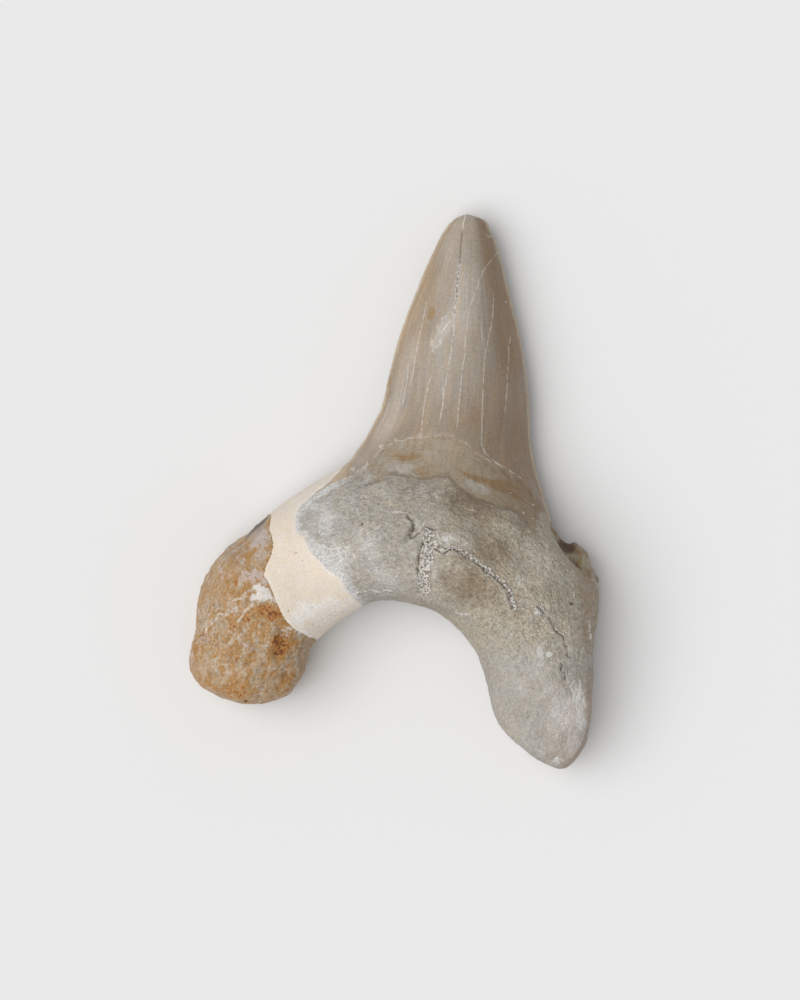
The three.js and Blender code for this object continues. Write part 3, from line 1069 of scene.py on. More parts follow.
        # The groove and lip where the root's folds meet the band.
        gap = Marks.BAND_GROOVE.measure(*bent)[0]
        shelf = smoothstep(-5.0, -3.0, x) * smoothstep(17.0, 15.0, x)
        shelf = shelf * smoothstep(-0.35, 0.25, Noise(18)(points, 3.0))
        height -= upper * shelf * self.shelf_drop * ragged * np.exp(-((gap / 0.38) ** 2))
        height += upper * shelf * self.shelf_lip * np.exp(-(((gap + 0.75) / 0.5) ** 2))
        # The crack down from the point, and the flecks worn off the cutting edges.
        crack, passed = Marks.TIP_CRACK.measure(*bent)
        opening = smoothstep(2.6, 4.0, passed) * smoothstep(7.0, 5.5, passed)
        height -= upper * (0.02 + 0.02 * opening) * np.exp(-((crack / 0.12) ** 2))
        fleck = smoothstep(0.25, 0.62, Noise(16)(points, 1.9, 2))
        rim = np.abs(normals[:, 2]) < 0.75
        height -= self.worn_edge * fleck * rim * (enamel > 0)
        return height

    def _margins(self, points: Array) -> tuple[Array, Array]:
        """Measure from the edges of the enamel and the band.

        Args:
            points: the points on the smooth skin, mm.

        Returns:
            The distances above the enamel's edge and above the band's groove, mm.
        """
        x, y, z = points.T
        turn = Noise(17)
        inner, _ = Marks.ENAMEL_MARGIN.measure(x, y)
        inner = inner + 0.2 * turn(points, 1.6, 2)
        band, _ = Marks.BAND_GROOVE.measure(x, y)
        reach, _ = self.body.root.polar(x, y)
        outer = reach - self.body.margin_radius + 0.25 * turn(points, 2.2, 2)
        outer = outer - 8.0 * smoothstep(-8.0, -13.0, y)  # the lobes are bare on the outer face too
        upper = smoothstep(2.6, 4.2, z)
        enamel = outer + (inner - outer) * upper
        band = band + 0.25 * Noise(19)(points, 1.8, 3)
        band = band - 4.0 * smoothstep(-1.8, -4.6, x) - 4.0 * smoothstep(14.8, 17.2, x)
        return np.clip(enamel, -4.0, 4.0), np.clip(outer + (band - outer) * upper, -4.0, 4.0)

    def marks(self, skin: Skin, points: Array, normals: Array) -> dict[str, Array]:
        """Work out what the finish reads.

        Args:
            skin: the mesh with its relief, mm.
            points: the smooth skin's points, mm.
            normals: their outward directions.

        Returns:
            Named values, one or three for each point.
        """
        x, y, z = points.T
        upper = smoothstep(-0.3, 0.1, normals[:, 2])
        enamel, band = self._margins(points)
        left, right = self.body.blade.edges(y)
        bent = x + 0.25 * Noise(21)(points, 1.2, 2), y + 0.25 * Noise(22)(points, 1.2, 2)
        near, wide = self.hollows(skin)
        seam = TO_FILLER.side(x, y, z)
        fine = x + 0.05 * Noise(23)(points, 0.9, 1), y
        lines = nearest_stroke(Marks.HAIRLINES, *fine)
        lines[:, 2] *= upper * smoothstep(-0.6, -0.1, enamel)
        scratches = nearest_stroke(Marks.ROOT_SCRATCHES, *bent)
        scratches[:, 2] *= upper
        cracks = nearest_stroke(Marks.ROOT_CRACKS, *bent, reach=0.6)
        cracks[:, 2] *= upper
        tip = nearest_stroke((Stroke(Marks.TIP_CRACK),), *fine)
        tip[:, 2] *= upper
        # Crumbs fill the nutrient groove and lie along the cracks.
        groove = np.abs(Marks.NUTRIENT_GROOVE.measure(*bent)[0])
        crumbs = 1.1 * smoothstep(0.95, 0.45, groove)
        for line, force in Marks.CRUMBLED:
            beside = np.abs(line.measure(*bent)[0] - 0.18)
            crumbs = np.maximum(crumbs, force * smoothstep(0.45, 0.1, beside))
        # The flank that falls from the side cusp to the table, and painted shade on the right lobe's
        # steep side, which faces away from the lamp.
        reach, bow = self.body.root.polar(x, y)
        flank = smoothstep(-0.5, 0.8, Marks.FLANK_EDGE.measure(*bent)[0])
        flank = flank * smoothstep(16.8, 18.0, x) * smoothstep(-20.0, -15.0, y)
        steep_shade = smoothstep(0.68, 0.4, normals[:, 2])
        steep_shade = steep_shade * smoothstep(17.0, 19.0, x) * smoothstep(-17.0, -20.0, y)
        flank = np.maximum(flank, 0.8 * steep_shade)
        grit = 1.0 - 0.4 * smoothstep(-15.0, -21.0, y) * (x > 6.0)
        grit = grit - 0.4 * Spot(-8.6, -2.8, 3.6).weight(x, y)
        grit = grit - 0.5 * flank * smoothstep(-14.0, -10.0, y)
        grit = grit + 0.25 * smoothstep(6.0, 14.0, x) * smoothstep(-20.0, -16.0, y)
        gap = Marks.BAND_GROOVE.measure(*bent)[0]
        below = smoothstep(-4.5, 0.2, np.clip(gap, -5.0, 0.0))
        below = below * smoothstep(-3.0, 6.0, x) * smoothstep(16.0, 10.0, x)
        # Where the painted shadow along the band's groove lies.
        shelf = smoothstep(0.45, 0.0, np.abs(gap))
        shelf = shelf * smoothstep(-5.0, -3.0, x) * smoothstep(16.0, 13.5, x)
        cusp = smoothstep(-0.1, 0.12, Marks.CUSP_EDGE.measure(*bent)[0]) * (x > 17.0) * (y > -12.6)
        return {
            "enamel": enamel,
            "band": band,
            "across": np.clip((x - (left + right) / 2) / ((right - left) / 2), -1.2, 1.2),
            "rim": np.clip(np.minimum(x - left, right - x), 0.0, 4.0),
            "upper": upper,
            "cusp": cusp,
            "pit_shadow": Spot(19.1, -5.7, 0.75, 1.4, 2.1, -32).weight(*bent),
            "pins": upper * total(self.pins, x, y),
            "brushed": total(self.brushed, *bent),
            "valley": total(self.valley, *bent),
            "flank": upper * flank,
            "bow": np.stack([np.radians(bow) * 16.0, reach, z], axis=1),
            "grit": grit,
            "tone": upper * (total(self.pale, *bent) - 0.35 * below),
            "stain": upper * (total(self.tan, *bent) + 0.15 * below),
            "shelf": upper * shelf,
            "chips": upper * total(self.chips, *bent),
            "dust": upper * total(self.dust, *bent),
            "crown_pale": upper * total(self.crown_pale, x, y),
            "hollow_near": near,
            "hollow_wide": wide,
            "seam": np.clip(seam, -3.0, 3.0),
            "hairline": lines,
            "scratch": scratches,
            "crack": cracks,
            "tip_crack": tip,
            "crumbs": upper * crumbs,
        }


@dataclass
class FillerBand(Piece):
    """The cream filler in the break through the root's left arm."""

    tuck: float = 0.3  # how far its edges dip under its neighbours, mm
    dents: tuple[Spot, ...] = spots(
        (-8.5, -12.6, 1.8, 0.12, 1.8, 35), (-10.4, -9.6, 2.6, -0.12), (-12.6, -5.4, 2.0, 0.1),
    )
    pin_holes: tuple[Spot, ...] = spots(
        (-10.6, -6.7, 0.25, -0.2), (-11.3, -13.0, 0.22, -0.2), (-8.8, -12.6, 0.22, -0.18),
    )
    pin_shade: float = -4.5  # how dark a hole's middle is for its height
    smears: tuple[Spot, ...] = spots(
        (-8.3, -12.6, 2.0, 1.0, 1.7, 25), (-10.4, -13.4, 1.8, 0.6, 1.6, 20),
        (-6.9, -13.6, 1.6, 0.8, 1.6, 40), (-12.0, -14.6, 1.0, 0.5, 1.6, -40),
        (-9.6, -15.4, 1.2, 0.8, 1.5, -30),
    )

    def field(self, x: Array, y: Array, z: Array) -> Array:
        """Measure from the filler's skin, which dips under its neighbours.

        Args:
            x: places across, mm.
            y: places along, mm.
            z: heights, mm.

        Returns:
            The distance outside the skin, mm, as if it had no seams.
        """
        tooth = TO_FILLER.side(x, y, z)
        lobe = TO_LOBE.side(x, y, z)
        sunk = smoothstep(-0.05, 0.25, tooth) + smoothstep(-0.05, 0.25, -lobe)
        return self.body.field(x, y, z) + self.tuck * sunk

    def relief(self, points: Array, normals: Array) -> Array:
        """Work out the relief.

        Args:
            points: the smooth skin's points, mm.
            normals: their outward directions.

        Returns:
            How far each point moves out, mm.
        """
        x, y, z = points.T
        upper = smoothstep(-0.2, 0.4, normals[:, 2])
        height = 0.14 * Noise(41)(points, 6.0) + 0.04 * Noise(42)(points, 1.8, 2)
        height += upper * total(self.dents + self.pin_holes, x, y)
        tooth = TO_FILLER.side(x, y, z)
        lobe = TO_LOBE.side(x, y, z)
        return height * smoothstep(0.0, 1.4, -tooth) * smoothstep(0.0, 1.4, lobe)

    def marks(self, skin: Skin, points: Array, normals: Array) -> dict[str, Array]:
        """Work out what the finish reads.

        Args:
            skin: the mesh with its relief, mm.
            points: the smooth skin's points, mm.
            normals: their outward directions; not used here.

        Returns:
            Named values, one or three for each point.
        """
        x, y, z = points.T
        bent = x + 0.4 * Noise(43)(points, 1.5, 3), y + 0.4 * Noise(44)(points, 1.5, 3)
        near, wide = self.hollows(skin)
        reach, _ = self.body.root.polar(x, y)
        tooth = TO_FILLER.side(x, y, z)
        lobe = TO_LOBE.side(x, y, z)
        return {
            "seam": np.clip(np.minimum(np.abs(tooth), np.abs(lobe)), 0.0, 3.0),
            "to_tooth": np.clip(np.abs(tooth), 0.0, 3.0),
            "notch": smoothstep(12.6, 10.2, reach) * smoothstep(-18, -14, x),
            "sliver": smoothstep(-3.6, -1.0, y),
            "smear": total(self.smears, *bent),
            "pins": total(self.pin_holes, x, y) * self.pin_shade,
            "hollow_near": near,
            "hollow_wide": wide,
        }


@dataclass
class BrownLobe(Piece):
    """The brown lobe of another root."""

    lumps: tuple[tuple[float, float], ...] = ((7.0, 0.3), (2.8, 0.27), (1.2, 0.16), (0.55, 0.07))
    rises: tuple[Spot, ...] = spots(
        (-12.5, -17.3, 1.1, -0.28, 1.3, 60), (-14.6, -17.0, 1.6, -0.08), (-18.0, -9.0, 4.0, 0.3),
        (-16.0, -20.6, 3.6, 0.35), (-14.2, -11.2, 1.0, 0.18), (-21.0, -16.0, 0.6, -0.15, 2.6, 66),
        (-11.0, -19.0, 1.6, 0.2), (-17.3, -5.8, 2.2, -0.45),
    )
    grooves: tuple[Groove, ...] = (
        Groove(Line(((-20.0, -14.7), (-20.6, -15.7), (-21.0, -16.6))), 0.3, 0.08),
    )
    rust: tuple[Spot, ...] = spots(
        (-12.3, -16.7, 1.2, 1.8, 1.5, -70), (-12.5, -17.8, 0.8, 1.6), (-12.9, -16.3, 0.7, 1.2),
        (-13.4, -13.1, 1.3, 1.7, 2.0, -12), (-16.8, -9.8, 0.5, 1.1, 2.4, 80), (-16.9, -18.5, 0.3, 1.6),
        (-13.1, -13.7, 0.5, 0.8), (-12.5, -13.2, 0.7, 0.9), (-12.9, -13.9, 1.0, 0.5),
        (-11.4, -16.0, 1.4, 0.6, 1.6, -60), (-15.9, -13.2, 1.5, 0.9), (-17.4, -8.4, 1.6, 0.5, 2.0, 60),
        (-16.2, -5.4, 1.8, 0.3, 2.0, 50), (-18.6, -11.0, 1.8, 0.35, 1.5, 70),
        (-20.6, -15.7, 0.42, 2.4, 3.0, 64), (-17.4, -21.8, 1.6, 0.8, 2.0, -12),
        (-20.6, -20.6, 1.4, 0.5, 1.6, -35), (-16.6, -14.6, 1.6, 0.3, 1.8, 30), (-17.2, -14.3, 1.2, 0.5),
        (-15.9, -20.9, 1.4, 0.55), (-13.2, -21.0, 1.6, 0.2), (-18.2, -18.6, 2.2, 0.3, 1.5, 80),
        (-14.1, -8.2, 0.9, 0.4, 2.5, 80),
    )
    pale: tuple[Spot, ...] = spots(  # paler and less orange, or more orange below zero
        (-20.3, -14.2, 2.0, 0.9, 2.0, 75), (-19.2, -18.6, 1.6, 0.6), (-17.4, -20.4, 1.6, -0.9),
        (-12.3, -21.4, 1.8, 0.9), (-13.9, -16.4, 1.3, 1.3, 1.6, 75), (-17.6, -7.5, 2.2, 1.0, 1.5, 55),
        (-11.2, -19.3, 1.6, 0.9), (-14.6, -5.0, 2.0, 1.2, 1.4, 60), (-14.0, -7.4, 1.3, 1.2, 1.8, 80),
        (-14.7, -20.1, 1.5, -0.7), (-15.9, -9.2, 1.0, -0.4),
    )
    grey: tuple[Spot, ...] = spots(
        (-15.0, -4.3, 1.2, 1.0, 2.3, 42), (-14.1, -7.2, 1.1, 0.6, 1.8, 80),
        (-9.6, -16.8, 1.2, 0.7, 1.8, 62), (-10.4, -18.8, 1.4, 0.3), (-14.9, -19.0, 1.0, 0.7),
        (-10.4, -15.6, 0.8, 0.7), (-14.6, -16.2, 0.35, 1.3),
    )
    lilac: tuple[Spot, ...] = spots(
        (-15.0, -9.3, 1.4, 1.2, 1.8, 20), (-14.6, -6.4, 1.3, 0.7, 1.6, 80), (-13.7, -9.8, 0.9, 0.9),
        (-16.8, -16.2, 1.6, 0.7, 1.5, 40), (-18.3, -9.4, 1.5, 0.5), (-21.9, -18.0, 0.9, 0.9),
        (-14.5, -5.0, 1.4, 0.9, 1.6, 60), (-12.0, -15.6, 0.8, 1.0, 2.0, 60), (-15.6, -17.6, 1.2, 0.3),
        (-16.2, -7.2, 1.0, 0.5, 1.8, 70),
    )
    white: tuple[Spot, ...] = spots(
        (-14.0, -11.3, 1.0, 1.5, 1.3, 8), (-14.7, -10.4, 0.9, 0.9), (-17.2, -11.9, 0.5, 1.1),
        (-12.4, -15.3, 0.5, 0.6, 2.6, -75), (-10.2, -15.3, 0.6, 0.9), (-15.0, -11.7, 0.7, 0.9, 1.6, 30),
        (-13.9, -6.6, 0.5, 0.4, 2.0, 80), (-11.5, -15.0, 0.6, 0.6, 2.0, -40), (-21.9, -18.0, 0.45, 0.7),
    )

    def relief(self, points: Array, normals: Array) -> Array:
        """Work out the relief.

        Args:
            points: the smooth skin's points, mm.
            normals: their outward directions.

        Returns:
            How far each point moves out, mm.
        """
        x, y, z = points.T
        upper = smoothstep(-0.2, 0.4, normals[:, 2])
        noise = Noise(51)
        height = np.zeros(len(points))
        for size, rise in self.lumps:
            height += rise * noise(points + size, size)
        seam = np.abs(TO_LOBE.side(x, y, z))
        height *= smoothstep(-0.2, 1.2, seam)
        bent = x + 0.25 * Noise(52)(points, 1.4, 2), y + 0.25 * Noise(53)(points, 1.4, 2)
        height += upper * total(self.rises, *bent)
        for groove in self.grooves:
            height += upper * groove.height(*bent)
        return height

    def marks(self, skin: Skin, points: Array, normals: Array) -> dict[str, Array]:
        """Work out what the finish reads.

        Args:
            skin: the mesh with its relief, mm.
            points: the smooth skin's points, mm.
            normals: their outward directions.

        Returns:
            Named values, one or three for each point.
        """
        x, y, z = points.T
        upper = smoothstep(-0.35, 0.1, normals[:, 2])
        bent = x + 0.45 * Noise(54)(points, 1.3, 3), y + 0.45 * Noise(55)(points, 1.3, 3)
        near, wide = self.hollows(skin)
        veins = nearest_stroke(Marks.LOBE_VEINS, *bent, reach=0.7)
        veins[:, 2] *= upper
        seam = TO_LOBE.side(x, y, z)
        ends = smoothstep(-16.6, -16.0, x) * smoothstep(-13.4, -14.0, x)
        ends = ends * smoothstep(-0.05, 0.25, normals[:, 2])
        edge = smoothstep(0.38, 0.1, np.abs(Marks.LOBE_EDGE.measure(x, y)[0]))
        return {
            "seam": np.clip(-seam, 0.0, 3.0),
            "rust": upper * total(self.rust, *bent),
            "grey": upper * total(self.grey, *bent),
            "edge": edge * ends,
            "pale": upper * total(self.pale, *bent),
            "lilac": upper * total(self.lilac, *bent),
            "white": upper * total(self.white, *bent),
            "vein": veins,
            "hollow_near": near,
            "hollow_wide": wide,
        }


# ---- materials ----


Value = Union["Wire", float, tuple[float, ...]]


class Wire:
    """A value or colour on its way through a material, with arithmetic."""

    def __init__(self, paint: "Paint", socket: bpy.types.NodeSocket) -> None:
        """Hold the material being built and the socket that the value comes from."""
        self.paint = paint
        self.socket = socket

    def __add__(self, other: Value) -> "Wire":
        """Return self + other."""
        return self.paint.math("ADD", self, other)

    def __radd__(self, other: Value) -> "Wire":
        """Return other + self."""
        return self.paint.math("ADD", other, self)

    def __sub__(self, other: Value) -> "Wire":
        """Return self - other."""
        return self.paint.math("SUBTRACT", self, other)

    def __rsub__(self, other: Value) -> "Wire":
        """Return other - self."""
        return self.paint.math("SUBTRACT", other, self)

    def __mul__(self, other: Value) -> "Wire":
        """Return self * other."""
        return self.paint.math("MULTIPLY", self, other)

    def __rmul__(self, other: Value) -> "Wire":
        """Return other * self."""
        return self.paint.math("MULTIPLY", other, self)

    def size(self) -> "Wire":
        """Return the value without its sign."""
        return self.paint.math("ABSOLUTE", self)

    def most(self, other: Value) -> "Wire":
        """Return the larger of two values."""
        return self.paint.math("MAXIMUM", self, other)

    def clamp(self) -> "Wire":
        """Hold the value between 0 and 1."""
        return self.paint.node("ShaderNodeClamp", sockets={"Value": self})

    def ease(self, low: float, high: float) -> "Wire":
        """Turn a stretch of values into 0 to 1 smoothly.

        Args:
            low: what becomes 0.
            high: what becomes 1, which may be less than low.

        Returns:
            The turned value, held at 0 and 1 beyond the stretch.
        """
        settings = {"interpolation_type": "SMOOTHSTEP"}
        sockets = {"Value": self, "From Min": low, "From Max": high}
        return self.paint.node("ShaderNodeMapRange", settings, sockets)

    def scaled(self, by: Value) -> "Wire":
        """Make a colour or vector longer or shorter."""
        sockets = {"Vector": self, "Scale": by}
        return self.paint.node("ShaderNodeVectorMath", {"operation": "SCALE"}, sockets)

    def times(self, other: Value) -> "Wire":
        """Multiply a colour or vector by another, channel by channel."""
        return self.paint.node("ShaderNodeVectorMath", {"operation": "MULTIPLY"}, {0: self, 1: other})

    def moved(self, by: float) -> "Wire":
        """Add the same number to all three of a vector's."""
        return self.paint.node("ShaderNodeVectorMath", {"operation": "ADD"}, {0: self, 1: (by,) * 3})

    def parts(self) -> tuple["Wire", "Wire", "Wire"]:
        """Take a vector apart."""
        kind = "ShaderNodeSeparateXYZ"
        return tuple(self.paint.node(kind, sockets={0: self}, out=i) for i in range(3))


class Paint:
    """Builds one material, node by node."""

    def __init__(self, name: str) -> None:
        """Start an empty material.

        Args:
            name: the material's name.
        """
        self.material = bpy.data.materials.new(name)
        self.material.use_nodes = True
        self.tree = self.material.node_tree
        self.tree.nodes.clear()
        place = self.node("ShaderNodeTexCoord", out="Object")
        self.millimetres = place.scaled(1.0 / MM)

    def node(
        self,
        kind: str,
        settings: dict[str, object] | None = None,
        sockets: dict[int | str, Value] | None = None,
        out: int | str = 0,
    ) -> Wire:
        """Add a node.

        Args:
            kind: the node's type name.
            settings: its own settings.
            sockets: what goes into its inputs, by name or number.
            out: the output to read.

        Returns:
            The wire that leaves that output.
        """
        node = self.tree.nodes.new(kind)
        for key, value in (settings or {}).items():
            setattr(node, key, value)
        for key, value in (sockets or {}).items():
            socket = node.inputs[key]
            if isinstance(value, Wire):
                self.tree.links.new(value.socket, socket)
            elif socket.type == "RGBA":
                socket.default_value = (*value, 1.0)
            else:
                socket.default_value = value
        return Wire(self, node.outputs[out])

    def math(self, operation: str, one: Value, other: Value = 0.0) -> Wire:
        """Add a Math node."""
        return self.node("ShaderNodeMath", {"operation": operation}, {0: one, 1: other})

    def mix(self, share: Value, one: Value, other: Value) -> Wire:
        """Mix two colours: one at share 0, the other at share 1."""
        return self.node("ShaderNodeMix", {"data_type": "RGBA"}, {0: share, 6: one, 7: other}, out=2)

    def blend(self, share: Value, one: Value, other: Value) -> Wire:
        """Mix two numbers: one at share 0, the other at share 1."""
        return self.node("ShaderNodeMix", {"data_type": "FLOAT"}, {0: share, 2: one, 3: other}, out=0)

    def mark(self, name: str) -> Wire:
        """Read a number that is written on the mesh's points."""
        return self.node("ShaderNodeAttribute", {"attribute_name": name}, out="Fac")

    def place(self, name: str) -> Wire:
        """Read a place or other three numbers that are written on the mesh's points."""
        return self.node("ShaderNodeAttribute", {"attribute_name": name}, out="Vector")

    def stroke(self, name: str) -> tuple[Wire, Wire, Wire]:
        """Read a stroke's signed distance, length passed and strength from the mesh's points."""
        return self.place(name).parts()

    def grain(
        self,
        size: float,
        detail: float = 2.0,
        rough: float = 0.5,
        stretch: tuple[float, float, float] = (1.0, 1.0, 1.0),
        at: Wire | None = None,
        shift: float = 0.0,
    ) -> Wire:
        """Read smooth noise.

        Args:
            size: the width of its largest lumps, mm.
            detail: how many finer layers it has.
            rough: how strong the finer layers are.
            stretch: how much longer the lumps are along X, Y and Z.
            at: where to read it, if not at the skin's own place in mm.
            shift: moves the pattern, so that two like it differ.

        Returns:
            A number near 0.5, mostly between 0.3 and 0.7.
        """
        place = (at or self.millimetres).times(tuple(1.0 / (size * long) for long in stretch))
        if shift:
            place = place.moved(shift)
        sockets = {"Vector": place, "Scale": 1.0, "Detail": detail, "Roughness": rough}
        return self.node("ShaderNodeTexNoise", sockets=sockets)

    def cells(self, size: float, at: Wire | None = None) -> Wire:
        """Read the distance to the nearest of points scattered about a size apart, in sizes."""
        place = (at or self.millimetres).scaled(1.0 / size)
        return self.node("ShaderNodeTexVoronoi", sockets={"Vector": place, "Scale": 1.0}, out="Distance")

    def turned(self, angle: float) -> Wire:
        """Return the place in mm, turned about the upright axis by an angle in radians."""
        sockets = {"Vector": self.millimetres, "Angle": angle}
        return self.node("ShaderNodeVectorRotate", {"rotation_type": "Z_AXIS"}, sockets)

    def bump(self, height: Wire) -> Wire:
        """Turn a height in mm into a tilted normal."""
        sockets = {"Strength": 1.0, "Distance": MM, "Height": height}
        return self.node("ShaderNodeBump", sockets=sockets)

    def finish(self, **sockets: Value) -> bpy.types.Material:
        """Put a skin on the material.

        Args:
            sockets: the inputs of the Principled node, with _ for spaces.

        Returns:
            The material.
        """
        named = {key.replace("_", " "): value for key, value in sockets.items()}
        skin = self.node("ShaderNodeBsdfPrincipled", sockets=named)
        output = self.tree.nodes.new("ShaderNodeOutputMaterial")
        self.tree.links.new(skin.socket, output.inputs["Surface"])
        return self.material


class Finish:
    """What a piece's skin looks like."""

    def material(self) -> bpy.types.Material:
        """Build the material."""
        raise NotImplementedError


@dataclass(frozen=True)
class ToothFinish(Finish):
    """Satin grey-brown enamel, a smooth brown band and a grainy warm-grey root."""

    crown: Colour = (0.395, 0.335, 0.272)
    crown_pale: Colour = (0.475, 0.412, 0.35)
    crown_foot: Colour = (0.318, 0.248, 0.182)
    crown_flank: Colour = (0.258, 0.168, 0.096)
    crown_tan: Colour = (0.35, 0.24, 0.14)
    rim: Colour = (0.49, 0.39, 0.265)
    stain: Colour = (0.34, 0.20, 0.085)
    band: Colour = (0.345, 0.275, 0.195)
    band_tan: Colour = (0.285, 0.18, 0.088)
    band_grey: Colour = (0.40, 0.355, 0.295)
    root: Colour = (0.43, 0.388, 0.328)
    root_dark: Colour = (0.212, 0.165, 0.12)
    root_pale: Colour = (0.60, 0.566, 0.528)
    root_brown: Colour = (0.33, 0.25, 0.165)
    root_flank: Colour = (0.36, 0.285, 0.225)
    chalk: Colour = (0.76, 0.73, 0.68)
    feather: Colour = (0.71, 0.70, 0.685)
    gap: Colour = (0.075, 0.06, 0.048)
    crack: Colour = (0.17, 0.105, 0.06)
    cusp: Colour = (0.325, 0.285, 0.20)
    cusp_tan: Colour = (0.27, 0.18, 0.085)
    cusp_brown: Colour = (0.17, 0.105, 0.065)
    # the painted shadow in the side cusp's pit
    pit_shadow: Colour = (0.085, 0.05, 0.032)
    half_blade: float = 8.0  # half the blade's width where its fibres are measured, mm

    def material(self) -> bpy.types.Material:
        """Build the material.

        Returns:
            The material, ready for a mesh.
        """
        paint = Paint("tooth_stone")
        enamel = paint.mark("enamel")
        ragged = paint.grain(0.7, 3.0) - 0.5
        on_crown = (enamel + ragged * 0.5).ease(-0.06, 0.06)
        on_root = (paint.mark("band") + ragged * 2.0).ease(0.5, -0.9)
        crown = self._crown(paint)
        band = self._band(paint)
        root, root_height = self._root(paint)
        colour = paint.mix(on_root, band, root)
        colour = paint.mix(on_crown, colour, crown)
        colour = self._cusp(paint, colour)
        colour, line_height = self._strokes(paint, colour, on_crown)
        fibre = paint.grain(0.5, 2.0, stretch=(1.0, 9.0, 3.0))
        height = root_height * (1.0 - on_crown) * paint.blend(on_root, 0.35, 1.0)
        height = height + fibre * 0.012 + line_height
        wear = paint.grain(2.4, 3.0)
        rough = paint.blend(on_crown, 0.78, 0.40 + (wear - 0.5) * 0.35)
        rough = paint.blend(on_root * (1.0 - on_crown), rough, 0.8)
        return paint.finish(Base_Color=colour, Roughness=rough, Normal=paint.bump(height), IOR=1.5)

    def _flow(self, paint: Paint, along: Wire) -> Wire:
        """Return a place that runs with the blade's fibres, which narrow to its point, mm."""
        across = paint.mark("across") * self.half_blade
        return paint.node("ShaderNodeCombineXYZ", sockets={0: across, 1: along})

    def _crown(self, paint: Paint) -> Wire:
        """Colour the enamel.

        Args:
            paint: the material.

        Returns:
            The enamel's colour.
        """
        across = paint.mark("across")
        y = paint.millimetres.parts()[1]
        flow = self._flow(paint, y)
        tone = paint.grain(3.2, 3.0, stretch=(1.0, 3.5, 1.0), at=flow)
        fibre = paint.grain(0.42, 3.0, 0.6, stretch=(1.0, 16.0, 1.0), at=flow)
        shift = tone - 0.5
        high = (y + shift * 8.0).ease(6.0, 15.0)
        colour = paint.mix(high, self.crown_foot, self.crown)
        tan_side = (across + shift * 0.7).ease(-0.35, -0.9) * y.ease(9.0, 17.0) * y.ease(28.0, 23.0)
        colour = paint.mix(tan_side * 0.8, colour, self.crown_tan)
        flank = (across + shift * 0.8).ease(0.18, 0.76) * high * paint.mark("upper")
        colour = paint.mix(flank * 0.95, colour, self.crown_flank)
        colour = paint.mix(across.ease(0.2, 0.9) * (1.0 - high) * 0.7, colour, self.crown_flank)
        pale = (paint.mark("crown_pale") + shift * 0.8).ease(0.15, 0.95)
        colour = paint.mix(pale * 0.9, colour, self.crown_pale)
        # Painted glow: a pale tan rim along the cutting edges, and tan along the left one, for light
        # shining through the thin enamel.
        rim = paint.mark("rim") + (paint.grain(1.1, 2.0) - 0.5) * 0.4
        left = across.ease(-0.5, -0.8)
        colour = paint.mix(rim.ease(0.75, 0.45) * left * 0.7, colour, self.crown_tan)
        colour = paint.mix(rim.ease(0.42, 0.2) * 0.85, colour, self.rim)
        stain = (paint.mark("stain") + shift * 0.6).ease(0.1, 1.2)
        colour = paint.mix(stain * 0.7, colour, self.stain)
        fine = paint.grain(0.3, 3.0, 0.65)
        sand = paint.grain(0.17, 1.0, 0.5, shift=1.0)
        hue = paint.grain(0.9, 3.0, 0.6, stretch=(1.0, 5.0, 1.0), at=flow, shift=8.0)
        colour = colour.times(paint.mix(hue.ease(0.42, 0.58), (0.975, 1.0, 1.03), (1.025, 0.995, 0.95)))
        streak = 1.0 + (fibre - 0.5) * paint.blend(high, 0.6, 0.42) + shift * 0.4
        return colour.scaled(streak + (fine - 0.5) * 0.6 + (sand - 0.5) * 0.3)

    def _band(self, paint: Paint) -> Wire:
        """Colour the smooth band between enamel and root.

        Args:
            paint: the material.

        Returns:
            The band's colour.
        """
        tone = paint.grain(0.9, 3.0, 0.6, stretch=(5.0, 1.0, 1.0), at=paint.place("bow"), shift=2.0)
        fine = paint.grain(0.3, 2.0, 0.6)
        sand = paint.grain(0.17, 1.0, 0.5, shift=1.0)
        flow = self._flow(paint, paint.mark("enamel"))
        fibre = paint.grain(0.36, 3.0, 0.6, stretch=(1.0, 6.0, 1.0), at=flow)
        light = paint.mark("tone") * 0.2
        # band_grey is the band's own grey tone, and painted highlights where the tone spots run as long
        # pale streaks.
        colour = paint.mix((tone - 0.12 * fine + light).ease(0.36, 0.56), self.band, self.band_grey)
        tan = (paint.mark("stain") + (tone - 0.5) * 3.0 + (fine - 0.5) * 1.0).ease(0.2, 1.0)
        colour = paint.mix(tan * 0.9, colour, self.band_tan)
        right = (paint.mark("across") + (tone - 0.5) * 1.5).ease(0.35, 1.0)
        colour = paint.mix(right * 0.7, colour, self.crown_flank)
        return colour.scaled(0.14 + 0.7 * fine + 0.5 * fibre + 0.5 * sand)

